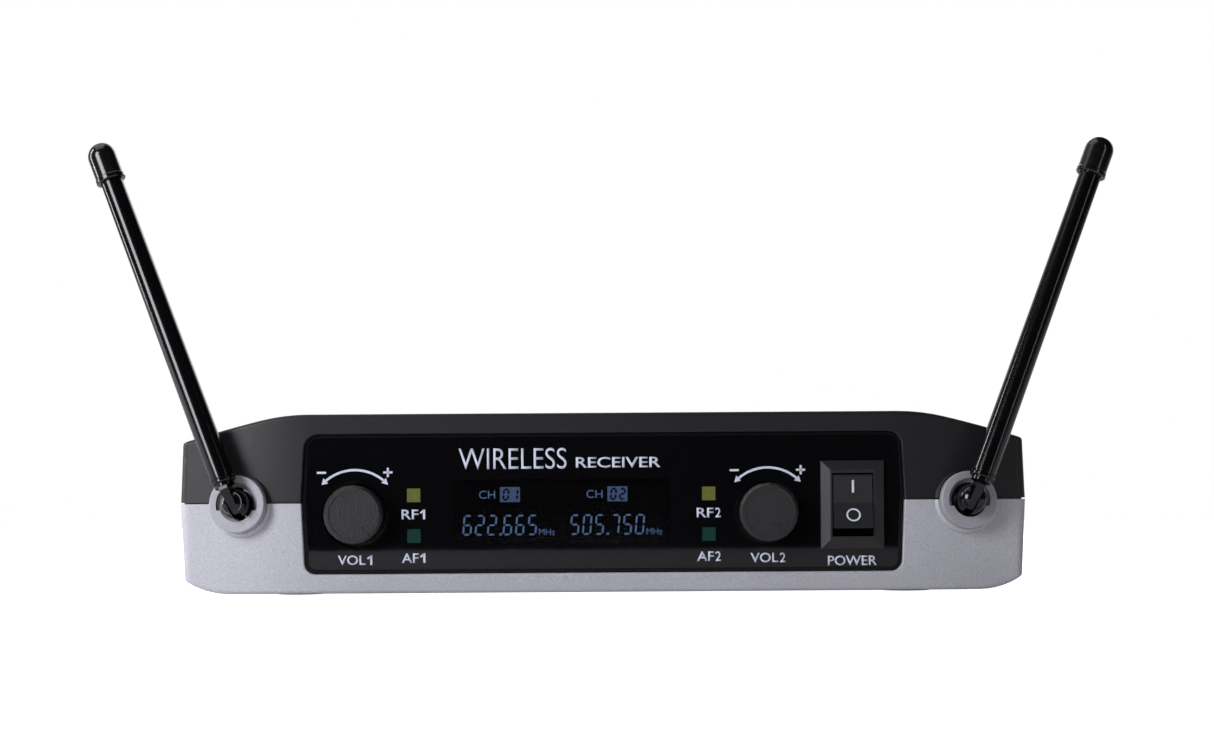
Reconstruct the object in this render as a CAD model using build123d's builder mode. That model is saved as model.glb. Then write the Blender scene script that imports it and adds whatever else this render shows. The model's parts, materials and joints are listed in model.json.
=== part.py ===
from build123d import *
import math
import os

# Twin-channel wireless microphone receiver, half-rack desktop case, millimetres.
# +Z is up, the front panel faces -Y, and the feet stand on Z = 0.

# ---- case ----
CASE_HALF_WIDTH = 101.3         # at the seam, where the case is widest
CASE_DEPTH = 140.0
CASE_BOTTOM = 0.6
CASE_TOP = 43.3
SEAM = 22.1                     # height of the joint between the two covers
DRAFT = 2.5                     # degrees, each cover narrows away from the seam
WALL = 2.2
CORNER_RADIUS = 2.75
INNER_CORNER_RADIUS = 0.6       # smallest radius left inside the wall
EDGE_RADIUS = 0.9

FRONT_OVERHANG = 7.2            # antenna hinges stand this far ahead of the case
REAR_OVERHANG = 2.4             # jack bushing stands this far behind it
FRONT = (FRONT_OVERHANG - REAR_OVERHANG - CASE_DEPTH) / 2
BACK = FRONT + CASE_DEPTH

# ---- plan of the front: flat middle, then wings swept back ----
FLAT_HALF = 70.0
WING_BEND_RADIUS = 80.0
WING_ANGLE = 10.0
WING_START_X = FLAT_HALF + WING_BEND_RADIUS * math.sin(math.radians(WING_ANGLE))
WING_START_Y = FRONT + WING_BEND_RADIUS * (1 - math.cos(math.radians(WING_ANGLE)))
WING_SLOPE = math.tan(math.radians(WING_ANGLE))

# ---- front view of the case: rolled shoulders and tucked lower edges ----
OVERRUN = 2.0                   # outline runs this far past the sides it trims
SHOULDER_RADIUS = 50.0
SHOULDER_TURN = 13.0
SHOULDER_SLOPE_RADIUS = 280.0
TUCK_START = 90.0
TUCK_RADIUS = 18.7

# ---- seam details ----
REVEAL_HEIGHT = 0.35
REVEAL_DEPTH = 0.8
TONGUE_THICKNESS = 1.0
TONGUE_GAP = 0.2
TONGUE_RISE = 1.8
TONGUE_ROOT = 2.0
TONGUE_SETBACK = 16.0
TONGUE_LEDGE = 0.4              # its root laps the wall by this much

# ---- panel opening in the front of both covers ----
OPENING_BOTTOM = 5.2
OPENING_TOP = 38.5
OPENING_HALF_TOP = 70.85
OPENING_HALF_SEAM = 71.7
OPENING_HALF_BOTTOM = 71.05
OPENING_RADIUS_TOP = 3.5
OPENING_RADIUS_BOTTOM = 2.75
OPENING_EDGE_RADIUS = 0.35

# ---- front panel stack, distances back from the front of the case ----
LENS_FRONT = FRONT + 1.5
FASCIA_FRONT = FRONT + 1.8
FLANGE_FRONT = FRONT + 2.7
LENS_BACK = FRONT + 3.0
FASCIA_BACK = FRONT + 4.2
PANEL_CLEARANCE = 0.15
LENS_INSET = 0.75
LENS_CHAMFER = 0.15
FLANGE_OVERLAP = 2.0
WINDOW_FIT = 0.05

# ---- display ----
WINDOW_CENTER = (-9.9, 19.9)
WINDOW_SIZE = (51.8, 15.4)
WINDOW_LEDGE = 1.0
LCD_SIZE = (54.0, 17.6)
LCD_THICKNESS = 2.0
LIGHT_BOX_RADIUS = 1.0
LCD_BACK = FASCIA_BACK + LCD_THICKNESS

# ---- indicators ----
INDICATOR_X = (-45.1, 25.2)
RF_Z = 23.9
AF_Z = 14.2
INDICATOR_SIZE = (3.2, 3.3)
PIPE_FLANGE = 0.6
PIPE_PROUD = 0.1
PIPE_TAIL = 1.8                 # how far a light pipe reaches behind the carrier
PIPE_FLANGE_THICKNESS = 0.9
LED_GAP = 0.6
LED_SIZE = 2.8

# ---- volume controls ----
KNOB_X = (-59.1, 39.2)
KNOB_Z = 19.4
KNOB_RADIUS = 6.95
KNOB_FLATS = 20
KNOB_FRONT = LENS_FRONT - 6.0
KNOB_BACK = FRONT + 5.2
KNOB_CHAMFER = 0.6
KNOB_FACE_RADIUS = 5.7
KNOB_DISH = 0.25
KNOB_SKIN = 2.0
KNOB_HUB_RADIUS = 4.4
KNOB_SKIRT_INNER = 5.8
POINTER_ANGLE = -48.7           # degrees from +X, half past four on a dial
POINTER_RADIUS = 4.4
DIMPLE_RADIUS = 0.75
POINTER_WIDTH = 0.55
POINTER_DEPTH = 0.25
WELL_RADIUS = 7.95
WELL_WALL = 1.0
WELL_FLOOR = FRONT + 6.2
SHAFT_RADIUS = 3.0
SHAFT_FLAT = 1.6                # distance of the D flat from the shaft's axis
SHAFT_FIT = 0.05
SHAFT_TIP = KNOB_FRONT + KNOB_SKIN
SHAFT_END = FRONT + 9.0
BUSHING_RADIUS = 3.8
BUSHING_FIT = 0.15
BUSHING_FRONT = FRONT + 5.9
POT_SIZE = (9.6, 11.0)
POT_FRONT = FRONT + 7.6
POT_BORE_END = SHAFT_END + 0.2

# ---- front board ----
BOARD_THICKNESS = 1.6
FRONT_BOARD_FRONT = FRONT + 13.0
FRONT_BOARD_BACK = FRONT_BOARD_FRONT + BOARD_THICKNESS
FRONT_BOARD_X = (-66.0, 47.5)
FRONT_BOARD_Z = (5.8, 35.8)
FRONT_POST_X = (-40.5, 20.5)
FRONT_POST_Z = (8.2, 33.2)
FRONT_POST_RADIUS = 2.1
BOARD_SCREW_RADIUS = 1.1
BOARD_SCREW_HEAD = 2.1
BOARD_SCREW_HEAD_HEIGHT = 1.4
BOARD_SCREW_LENGTH = 5.0
SCREW_GAP = 0.05

# ---- power switch ----
SWITCH_X = 59.3
SWITCH_Z = 21.0
BEZEL_WIDTH = 15.0
BEZEL_HEIGHT = 21.0
BEZEL_PROUD = 2.0
BEZEL_FRONT = LENS_FRONT - BEZEL_PROUD
BEZEL_RIM = 0.8                 # upright edge of the bezel, below its sloping faces
BEZEL_SLOPE_WIDTH = 2.2
SWITCH_BODY_WIDTH = 12.8
SWITCH_BODY_HEIGHT = 19.0
SWITCH_BODY_BACK = FRONT + 17.0
SWITCH_HOLE_GAP = 0.1
ROCKER_WELL_WIDTH = 9.7
ROCKER_WELL_HEIGHT = 15.1
ROCKER_WELL_DEPTH = 9.0
ROCKER_WIDTH = 9.2
ROCKER_SWEEP = 7.3              # radius of the rocker's curved ends
ROCKER_PIVOT_DEPTH = 1.5        # behind the bezel's front
ROCKER_SADDLE = 0.4             # middle of the rocker, ahead of the bezel
ROCKER_VEE = 13.0               # degrees, slope of each half of its face
ROCKER_HEEL = 2.2               # rear of the rocker, behind its pivot
ROCKER_TRAVEL = 25.0            # degrees between its two positions
TRUNNION_RADIUS = 1.0
TRUNNION_LENGTH = 0.8
TRUNNION_FIT = 0.05
TRUNNION_END_GAP = 0.1
ROCKER_EDGE_RADIUS = 0.4
TERMINAL_SIZE = (0.8, 4.8, 8.0)
TERMINAL_OFFSETS = (-6.0, 0.0, 6.0)

# ---- antennas, in a frame on each wing: origin on the wing, z along the swivel axis ----
ANTENNA_X = 86.5
ANTENNA_Z = 21.8
ANTENNA_TILT = 5.0              # degrees, swivel axis points slightly up
ANTENNA_LEAN = 22.2             # degrees, outward from upright as it stands
BOSS_BASE_RADIUS = 7.7
BOSS_TOP_RADIUS = 7.15
BOSS_RISE = 0.6
BOSS_DEPTH = 4.5
SPIGOT_RADIUS = 5.4
SPIGOT_FIT = 0.1
RING_RADIUS = 6.85
RING_GROOVE = 0.25
RING_FACE = 2.8
RING_CHAMFER = 0.35
RING_HOLE = 4.16
RING_RECESS_RADIUS = 5.08
RING_RECESS_DEPTH = 1.2
RING_RECESS_DROP = 1.47         # the recess ends this far below the centre
BARREL_RADIUS = 4.1
BARREL_FRONT = 2.4
BARREL_BACK = -4.8
THREAD_RADIUS = 3.4
THREAD_END = -7.8
LEAD_BORE = 1.4
NUT_RADIUS = 6.1
NUT_BACK = -7.3
BALL_RADIUS = 3.6
BALL_CENTER = 4.0
BALL_NECK_RADIUS = 3.3
DOME_RADIUS = 2.6
DOME_RISE = 0.35
HINGE_SLOT = 2.1
HINGE_SLOT_FLOOR = 1.2
HINGE_PIN_RADIUS = 0.6
HINGE_PIN_HALF = 3.3
HINGE_FIT = 0.05
BLADE_THICKNESS = 2.0
BLADE_EYE_RADIUS = 2.6
BLADE_ROOT = 0.8
BLADE_SHOULDER = 0.4            # the blade's root is this much narrower than the collar
ROD_OFFSET = 2.4                # rod axis, ahead of the hinge pin
ROD_START = 5.1                 # lower end of the sleeve, from the hinge pin
ROD_COLLAR = 0.9
ROD_COLLAR_RADIUS = 2.4
STEM_RADIUS = 1.6
STEM_END = 12.0
SLEEVE_RADIUS_LOW = 2.95
SLEEVE_RADIUS_HIGH = 2.65
SLEEVE_END = 90.5
BEAD_RADIUS = 3.1
BEAD_HEIGHT = 1.0
BEAD_GROOVE_RADIUS = 2.65
BEAD_GROOVE = 0.35
BEAD_BREAK = 0.25               # bevel on the edges of beads and rims
RIM_STEP = 0.2
ELEMENT_RADIUS = 1.2
ELEMENT_END = 88.0
TIP_START = 84.0
TIP_END = 94.0
TIP_RADIUS = 3.45
TIP_RIM_RADIUS = 3.6
TIP_RIM = 1.1
TIP_BORE = 2.7

# ---- rear panel and its sockets ----
REAR_PLATE_BACK = BACK - 1.6
REAR_PLATE_THICKNESS = 1.8
REAR_PLATE_FRONT = REAR_PLATE_BACK - REAR_PLATE_THICKNESS
REAR_OPENING_HALF = 77.0
REAR_PLATE_OVERLAP = 2.0
REAR_OPENING_RADIUS = 2.75
SOCKET_Z = (OPENING_BOTTOM + OPENING_TOP) / 2
XLR_X = (-62.0, -30.0)
XLR_FLANGE = (26.0, 31.0)
XLR_FLANGE_THICKNESS = 2.0
XLR_FLANGE_RADIUS = 3.0
XLR_BARREL_RADIUS = 11.6
XLR_BORE_RADIUS = 9.6
XLR_DEPTH = 15.0
XLR_FLOOR = 3.0
XLR_HOLE_GAP = 0.2
XLR_KEY = (3.0, 1.2)
XLR_PIN_CIRCLE = 5.6
XLR_PIN_RADIUS = 1.2
XLR_PIN_SETBACK = 2.0
XLR_PIN_TAIL = 4.0
XLR_SCREW_SPACING = (19.0, 24.0)
XLR_SCREW_RADIUS = 1.4
XLR_SCREW_HEAD = 2.8
XLR_SCREW_HEAD_HEIGHT = 1.2
XLR_SCREW_LENGTH = 7.0
JACK_X = 8.0
JACK_BODY = (12.0, 16.0)
JACK_BODY_DEPTH = 24.0
JACK_BUSHING_RADIUS = 4.7
JACK_BUSHING_OUT = 4.0
JACK_BORE_RADIUS = 3.23
JACK_WASHER_RADIUS = 6.8
JACK_WASHER_THICKNESS = 0.7
JACK_NUT_RADIUS = 6.9
JACK_NUT_THICKNESS = 2.0
DC_X = 46.0
DC_BODY = (9.0, 11.0)
DC_BODY_DEPTH = 14.0
DC_COLLAR_RADIUS = 4.4
DC_BORE_RADIUS = 3.1
DC_BORE_DEPTH = 10.0
DC_PIN_RADIUS = 1.05
DC_PIN_SETBACK = 1.0

# ---- fasteners and feet ----
POST_X = 80.0
POST_Y = (FRONT + 32.0, BACK - 16.0)
POST_RADIUS = 3.6
POST_TOP = 41.0
POST_FOOT_EXTRA = 0.4           # the lower posts are this much stouter
CASE_SCREW_RADIUS = 1.4
CASE_SCREW_HEAD_RADIUS = 2.7
CASE_SCREW_HEAD_HEIGHT = 2.0
CASE_SCREW_SEAT = 14.0
CASE_SCREW_TOP = 34.0
COUNTERBORE_RADIUS = 3.1
FOOT_X = 74.0
FOOT_Y = (FRONT + 19.0, BACK - 24.0)
FOOT_RADIUS = 6.0
FOOT_THICKNESS = 1.6
FOOT_CHAMFER = 0.3
FOOT_GAP = 0.1
RETAINER_X = 70.0
RETAINER_SIZE = (2.4, 2.0, 13.0)

# ---- main board and what is on it ----
MAIN_BOARD_Z = 8.0
MAIN_BOARD_TOP = MAIN_BOARD_Z + BOARD_THICKNESS
MAIN_BOARD_SIZE = (124.0, 78.0)
MAIN_BOARD_Y = FRONT + 79.0
STANDOFF_X = 56.0
STANDOFF_DY = 33.0
STANDOFF_RADIUS = 3.0
STANDOFF_PILOT_DEPTH = 4.0
MODULE_X = 44.0
MODULE_Y = FRONT + 74.0
MODULE_SIZE = (28.0, 40.0, 6.5)
MODULE_WALL = 0.5
MODULE_HOLE = 1.2
MODULE_HOLE_PITCH = 8.0
MODULE_CORNER = 1.0
CAPACITOR_RADIUS = 4.0
CAPACITOR_HEIGHT = 9.0
CAPACITOR_ROUND = 0.5
CAPACITOR_X = (-12.0, 0.0, 12.0)
CAPACITOR_Y = FRONT + 97.0
CHIP_SIZE = (12.0, 8.0, 1.6)
CHIP_CHAMFER = 0.2
CHIP_X = (-16.0, 0.0, 16.0)
CHIP_Y = FRONT + 74.0
LEAD_RADIUS = 0.9
LEAD_BEND = 6.0
LEAD_HEIGHT = 12.5
LEAD_ENTRY = 1.5                # start of the lead inside the swivel's tail
LEAD_STRAIGHT = 5.5
LEAD_MIDDLE = (70.0, FRONT + 30.0, 15.0)
LEAD_TURN_Y = FRONT + 39.0
RIBBON_WIDTH = 22.0
RIBBON_THICKNESS = 0.9
RIBBON_Z = 12.0
RIBBON_LANDING = 6.0            # from the main board's front edge


def save(piece, name):
    """Label a finished piece and write it as its own STEP file."""
    piece.label = name
    export_step(piece, f"parts/{name}.step")


def facing_front(y):
    """Plane at depth y, seen from the front: local x is X, local y is Z, normal -Y."""
    return Plane.XZ.offset(-y)


def facing_back(y):
    """Plane at depth y whose normal points to the rear: local x is -X, local y is Z."""
    return Plane(origin=(0, y, 0), x_dir=(-1, 0, 0), z_dir=(0, 1, 0))


# ---- shared outlines ----
def plan_outline(plane, inset):
    """Case seen from above at the seam, every edge moved inward by inset."""
    corner_y = WING_START_Y + (CASE_HALF_WIDTH - WING_START_X) * WING_SLOPE
    with BuildSketch(plane) as outline:
        with BuildLine():
            middle = Line((0, FRONT), (FLAT_HALF, FRONT))
            bend = JernArc(middle @ 1, middle % 1, WING_BEND_RADIUS, WING_ANGLE)
            Polyline(bend @ 1, (CASE_HALF_WIDTH, corner_y), (CASE_HALF_WIDTH, BACK), (0, BACK))
            mirror(about=Plane.YZ)
        make_face()
        if inset:
            offset(amount=-inset, kind=Kind.INTERSECTION)
        side = CASE_HALF_WIDTH - inset - 0.5
        corners = outline.vertices().filter_by(lambda v: abs(v.X) > side)
        fillet(corners, max(CORNER_RADIUS - inset, INNER_CORNER_RADIUS))
    return outline.sketch


def front_outline(inset):
    """Case seen from the front, every edge moved inward by inset."""
    edge = CASE_HALF_WIDTH + OVERRUN
    shoulder_x = FLAT_HALF + SHOULDER_RADIUS * math.sin(math.radians(SHOULDER_TURN))
    reach = math.sin(math.radians(SHOULDER_TURN)) + (edge - shoulder_x) / SHOULDER_SLOPE_RADIUS
    slope_turn = math.degrees(math.asin(reach)) - SHOULDER_TURN
    tuck_turn = math.degrees(math.asin((edge - TUCK_START) / TUCK_RADIUS))
    with BuildSketch(facing_front(FRONT)) as outline:
        with BuildLine():
            top = Line((0, CASE_TOP), (FLAT_HALF, CASE_TOP))
            shoulder = JernArc(top @ 1, top % 1, SHOULDER_RADIUS, -SHOULDER_TURN)
            slope = JernArc(shoulder @ 1, shoulder % 1, SHOULDER_SLOPE_RADIUS, -slope_turn)
            floor = Line((0, CASE_BOTTOM), (TUCK_START, CASE_BOTTOM))
            tuck = JernArc(floor @ 1, floor % 1, TUCK_RADIUS, tuck_turn)
            Line(slope @ 1, tuck @ 1)
            mirror(about=Plane.YZ)
        make_face()
        if inset:
            offset(amount=-inset, kind=Kind.INTERSECTION)
    return outline.sketch


def opening_outline(plane, grow):
    """Outline of the front panel opening, its edges moved outward by grow."""
    top = OPENING_TOP + grow
    bottom = OPENING_BOTTOM - grow
    with BuildSketch(plane) as outline:
        with BuildLine():
            Polyline(
                (-OPENING_HALF_TOP - grow, top),
                (OPENING_HALF_TOP + grow, top),
                (OPENING_HALF_SEAM + grow, SEAM),
                (OPENING_HALF_BOTTOM + grow, bottom),
                (-OPENING_HALF_BOTTOM - grow, bottom),
                (-OPENING_HALF_SEAM - grow, SEAM),
                close=True,
            )
        make_face()
        high = outline.vertices().filter_by(lambda v: v.Y > top - 1)
        fillet(high, OPENING_RADIUS_TOP + grow)
        low = outline.vertices().filter_by(lambda v: v.Y < bottom + 1)
        fillet(low, OPENING_RADIUS_BOTTOM + grow)
    return outline.sketch


def rear_outline(grow):
    """Outline of the rear opening, its edges moved outward by grow."""
    with BuildSketch(facing_back(REAR_PLATE_BACK)) as outline:
        with Locations((0, SOCKET_Z)):
            RectangleRounded(
                2 * (REAR_OPENING_HALF + grow),
                OPENING_TOP - OPENING_BOTTOM + 2 * grow,
                REAR_OPENING_RADIUS,
            )
    return outline.sketch


# ---- antenna frames ----
def antenna_plane(side):
    """Plane on a wing (side is +1 right, -1 left): z along the swivel axis, y upward."""
    wing = math.radians(WING_ANGLE)
    tilt = math.radians(ANTENNA_TILT)
    y = WING_START_Y + (ANTENNA_X - WING_START_X) * WING_SLOPE
    normal = (
        side * math.sin(wing) * math.cos(tilt),
        -math.cos(wing) * math.cos(tilt),
        math.sin(tilt),
    )
    return Plane(
        origin=(side * ANTENNA_X, y, ANTENNA_Z),
        x_dir=(math.cos(wing), side * math.sin(wing), 0),
        z_dir=normal,
    )


def leaning_plane(side):
    """Antenna plane turned so that its local y lies along the leaning rod."""
    upright = antenna_plane(side)
    swivel_axis = Axis((0, 0, 0), upright.z_dir)
    return Plane(
        origin=upright.origin,
        x_dir=upright.x_dir.rotate(swivel_axis, -side * ANTENNA_LEAN),
        z_dir=upright.z_dir,
    )


def rod_plane(side, along):
    """Plane across the rod at a distance along it from the hinge pin."""
    lean = leaning_plane(side)
    origin = lean.from_local_coords(Vector(0, along, BALL_CENTER + ROD_OFFSET))
    return Plane(origin=origin, x_dir=lean.x_dir, z_dir=lean.y_dir)


def rod_section(side):
    """Plane through the rod's axis: local x is radial, local y runs along the rod."""
    lean = leaning_plane(side)
    origin = lean.from_local_coords(Vector(0, 0, BALL_CENTER + ROD_OFFSET))
    return Plane(origin=origin, x_dir=lean.x_dir, z_dir=lean.z_dir)


def side_name(side):
    """Name of a side, as the viewer in front of the panel sees it."""
    return "right" if side > 0 else "left"


# ---- covers ----
def half_case(upward, inset):
    """Solid block of one half of the case, every face moved inward by inset."""
    height = CASE_TOP - SEAM if upward else SEAM - CASE_BOTTOM
    direction = (0, 0, 1) if upward else (0, 0, -1)
    with BuildPart() as block:
        extrude(plan_outline(Plane.XY.offset(SEAM), inset), amount=height, dir=direction, taper=DRAFT)
        extrude(front_outline(inset), amount=CASE_DEPTH + OVERRUN, both=True, mode=Mode.INTERSECT)
    return block.part


def antenna_boss(side, upward):
    """Half of the tapered boss that carries an antenna ring."""
    with BuildPart() as boss:
        with BuildSketch(antenna_plane(side)):
            Circle(BOSS_BASE_RADIUS)
        with BuildSketch(antenna_plane(side).offset(BOSS_RISE)):
            Circle(BOSS_TOP_RADIUS)
        loft()
        with BuildSketch(antenna_plane(side)):
            Circle(BOSS_BASE_RADIUS)
        extrude(amount=-BOSS_DEPTH)
        split(bisect_by=Plane.XY.offset(SEAM), keep=Keep.TOP if upward else Keep.BOTTOM)
    return boss.part


def front_cutter():
    """What both covers lack at the front: panel opening, panel seat, antenna holes."""
    seat_grow = FLANGE_OVERLAP + PANEL_CLEARANCE
    with BuildPart() as cutter:
        extrude(opening_outline(facing_front(FASCIA_BACK), 0), amount=FASCIA_BACK - FRONT + OVERRUN)
        extrude(
            opening_outline(facing_front(FASCIA_BACK), seat_grow),
            amount=FASCIA_BACK - FLANGE_FRONT,
        )
        for side in (-1, 1):
            with BuildSketch(antenna_plane(side).offset(-BOSS_DEPTH - OVERRUN)):
                Circle(SPIGOT_RADIUS + SPIGOT_FIT)
            extrude(amount=BOSS_DEPTH + 2 * OVERRUN)
    return cutter.part


def rear_cutter():
    """What both covers lack at the back: the opening and a pocket for the panel's edge."""
    with BuildPart() as cutter:
        extrude(rear_outline(0), amount=2 * OVERRUN, both=True)
        extrude(
            rear_outline(REAR_PLATE_OVERLAP + PANEL_CLEARANCE),
            amount=-REAR_PLATE_THICKNESS,
        )
    return cutter.part


def reveal_groove():
    """Shallow groove round the case, at the foot of the top cover."""
    with BuildPart() as groove:
        extrude(plan_outline(Plane.XY.offset(SEAM), -OVERRUN), amount=REVEAL_HEIGHT)
        extrude(
            plan_outline(Plane.XY.offset(SEAM), REVEAL_DEPTH),
            amount=REVEAL_HEIGHT,
            mode=Mode.SUBTRACT,
        )
    return groove.part


def opening_rim(cover):
    """Outer edges of the panel opening, on the front of a cover."""
    return cover.edges().filter_by(
        lambda e: e.center().Y < FRONT + 1.0
        and abs(e.center().X) < OPENING_HALF_SEAM + 0.5
        and OPENING_BOTTOM - 0.5 < e.center().Z < OPENING_TOP + 0.5
        and abs(e.center().Z - SEAM) > REVEAL_HEIGHT + 0.1
    )


def outer_edges(block):
    """Edges that run round the top or the bottom of half a case."""
    return block.edges().filter_by(
        lambda e: abs(e.center().Z - SEAM) > 10
        and abs(e.tangent_at(0.5).Z) < 0.9
        and e.length > 1.0
    ).filter_by(lambda e: e.center().Y < FRONT + 8 or e.center().Y > BACK - 4)


def make_top_cover():
    """Black upper cover, with screw posts and the upper halves of the bosses."""
    with BuildPart() as cover:
        add(half_case(True, 0))
        fillet(outer_edges(cover), EDGE_RADIUS)
        add(half_case(True, WALL), mode=Mode.SUBTRACT)
        with BuildSketch(Plane.XY.offset(SEAM)):
            with Locations([(x, y) for x in (-POST_X, POST_X) for y in POST_Y]):
                Circle(POST_RADIUS)
        extrude(amount=POST_TOP - SEAM)
        for side in (-1, 1):
            add(antenna_boss(side, True))
            with Locations((side * RETAINER_X, FASCIA_BACK + RETAINER_SIZE[1] / 2, CASE_TOP - WALL)):
                Box(*RETAINER_SIZE, align=(Align.CENTER, Align.CENTER, Align.MAX))
        add(reveal_groove(), mode=Mode.SUBTRACT)
        with BuildSketch(Plane.XY.offset(SEAM)):
            with Locations([(x, y) for x in (-POST_X, POST_X) for y in POST_Y]):
                Circle(CASE_SCREW_RADIUS + SCREW_GAP)
        extrude(amount=CASE_SCREW_TOP - SEAM + 1, mode=Mode.SUBTRACT)
        add(front_cutter(), mode=Mode.SUBTRACT)
        add(rear_cutter(), mode=Mode.SUBTRACT)
        fillet(opening_rim(cover), OPENING_EDGE_RADIUS)
    save(cover.part, "top_cover")


def make_bottom_cover():
    """Silver lower cover, with standoffs, screw posts, foot recesses and a tongue."""
    tongue_x = CASE_HALF_WIDTH - WALL - TONGUE_GAP - TONGUE_THICKNESS / 2
    tongue_length = CASE_DEPTH - 2 * TONGUE_SETBACK
    foot_spots = [(x, y) for x in (-FOOT_X, FOOT_X) for y in FOOT_Y]
    post_spots = [(x, y) for x in (-POST_X, POST_X) for y in POST_Y]
    with BuildPart() as cover:
        add(half_case(False, 0))
        fillet(outer_edges(cover), EDGE_RADIUS)
        add(half_case(False, WALL), mode=Mode.SUBTRACT)
        with BuildSketch(Plane.XY.offset(CASE_BOTTOM)):
            with Locations(post_spots):
                Circle(POST_RADIUS + POST_FOOT_EXTRA)
        extrude(amount=SEAM - CASE_BOTTOM)
        with BuildSketch(Plane.XY.offset(CASE_BOTTOM)):
            with Locations((0, MAIN_BOARD_Y)):
                with GridLocations(2 * STANDOFF_X, 2 * STANDOFF_DY, 2, 2):
                    Circle(STANDOFF_RADIUS)
        extrude(amount=MAIN_BOARD_Z - CASE_BOTTOM)
        for side in (-1, 1):
            add(antenna_boss(side, False))
            with Locations((side * RETAINER_X, FASCIA_BACK + RETAINER_SIZE[1] / 2, CASE_BOTTOM)):
                Box(*RETAINER_SIZE, align=(Align.CENTER, Align.CENTER, Align.MIN))
            with Locations((side * tongue_x, (FRONT + BACK) / 2, SEAM - TONGUE_ROOT)):
                Box(
                    TONGUE_THICKNESS,
                    tongue_length,
                    TONGUE_ROOT + TONGUE_RISE,
                    align=(Align.CENTER, Align.CENTER, Align.MIN),
                )
                Box(
                    TONGUE_THICKNESS + 2 * TONGUE_GAP + TONGUE_LEDGE,
                    tongue_length,
                    TONGUE_ROOT,
                    align=(Align.CENTER, Align.CENTER, Align.MIN),
                )
        with Locations([(x, y, CASE_BOTTOM) for x, y in foot_spots]):
            Cylinder(
                FOOT_RADIUS + FOOT_GAP,
                FOOT_THICKNESS - CASE_BOTTOM,
                align=(Align.CENTER, Align.CENTER, Align.MIN),
                mode=Mode.SUBTRACT,
            )
        with Locations([(x, y, CASE_BOTTOM) for x, y in post_spots]):
            Cylinder(
                COUNTERBORE_RADIUS,
                CASE_SCREW_SEAT - CASE_BOTTOM,
                align=(Align.CENTER, Align.CENTER, Align.MIN),
                mode=Mode.SUBTRACT,
            )
            Cylinder(
                CASE_SCREW_RADIUS + SCREW_GAP,
                SEAM - CASE_BOTTOM,
                align=(Align.CENTER, Align.CENTER, Align.MIN),
                mode=Mode.SUBTRACT,
            )
        with BuildSketch(Plane.XY.offset(MAIN_BOARD_Z)):
            with Locations((0, MAIN_BOARD_Y)):
                with GridLocations(2 * STANDOFF_X, 2 * STANDOFF_DY, 2, 2):
                    Circle(BOARD_SCREW_RADIUS + SCREW_GAP)
        extrude(amount=-STANDOFF_PILOT_DEPTH, mode=Mode.SUBTRACT)
        add(front_cutter(), mode=Mode.SUBTRACT)
        add(rear_cutter(), mode=Mode.SUBTRACT)
        fillet(opening_rim(cover), OPENING_EDGE_RADIUS)
    save(cover.part, "bottom_cover")


def make_rear_panel():
    """Flat plate held between the covers, with holes for the sockets."""
    with BuildPart() as panel:
        extrude(rear_outline(REAR_PLATE_OVERLAP), amount=-REAR_PLATE_THICKNESS)
        with BuildSketch(facing_back(REAR_PLATE_BACK)):
            with Locations([(-x, SOCKET_Z) for x in XLR_X]):
                Circle(XLR_BARREL_RADIUS + XLR_HOLE_GAP)
                for dx, dz in xlr_screw_offsets():
                    with Locations((dx, dz)):
                        Circle(XLR_SCREW_RADIUS + SCREW_GAP)
            with Locations((-JACK_X, SOCKET_Z)):
                Circle(JACK_BUSHING_RADIUS + XLR_HOLE_GAP)
            with Locations((-DC_X, SOCKET_Z)):
                Circle(DC_COLLAR_RADIUS + XLR_HOLE_GAP)
        extrude(amount=-REAR_PLATE_THICKNESS, mode=Mode.SUBTRACT)
    save(panel.part, "rear_panel")


def make_feet():
    """Four round rubber pads, let into the bottom cover."""
    with BuildPart() as feet:
        with Locations([(x, y, 0) for x in (-FOOT_X, FOOT_X) for y in FOOT_Y]):
            Cylinder(FOOT_RADIUS, FOOT_THICKNESS, align=(Align.CENTER, Align.CENTER, Align.MIN))
        chamfer(feet.edges().group_by(Axis.Z)[0], FOOT_CHAMFER)
    save(feet.part, "rubber_feet")


def screw_stack(head_radius, head_height, radius, length):
    """Pan-head screw at the working location: the head rises, the shank hangs below it."""
    Cylinder(head_radius, head_height, align=(Align.CENTER, Align.CENTER, Align.MIN))
    Cylinder(radius, length, align=(Align.CENTER, Align.CENTER, Align.MAX))


def make_case_screws():
    """Four screws that enter from below and hold the covers together."""
    with BuildPart() as screws:
        for x in (-POST_X, POST_X):
            for y in POST_Y:
                with Locations(Plane(origin=(x, y, CASE_SCREW_SEAT), z_dir=(0, 0, -1))):
                    screw_stack(
                        CASE_SCREW_HEAD_RADIUS,
                        CASE_SCREW_HEAD_HEIGHT,
                        CASE_SCREW_RADIUS,
                        CASE_SCREW_TOP - CASE_SCREW_SEAT,
                    )
    save(screws.part, "case_screws")


# ---- front panel ----
def control_holes(x_list, z, radius):
    """Round holes through a front panel layer."""
    with Locations([(x, z) for x in x_list]):
        Circle(radius, mode=Mode.SUBTRACT)


def indicator_holes(gap):
    """Square windows for the four indicators."""
    with Locations([(x, z) for x in INDICATOR_X for z in (RF_Z, AF_Z)]):
        Rectangle(INDICATOR_SIZE[0] + 2 * gap, INDICATOR_SIZE[1] + 2 * gap, mode=Mode.SUBTRACT)


def switch_hole():
    """Rectangular hole for the power switch."""
    with Locations((SWITCH_X, SWITCH_Z)):
        Rectangle(
            SWITCH_BODY_WIDTH + 2 * SWITCH_HOLE_GAP,
            SWITCH_BODY_HEIGHT + 2 * SWITCH_HOLE_GAP,
            mode=Mode.SUBTRACT,
        )


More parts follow.
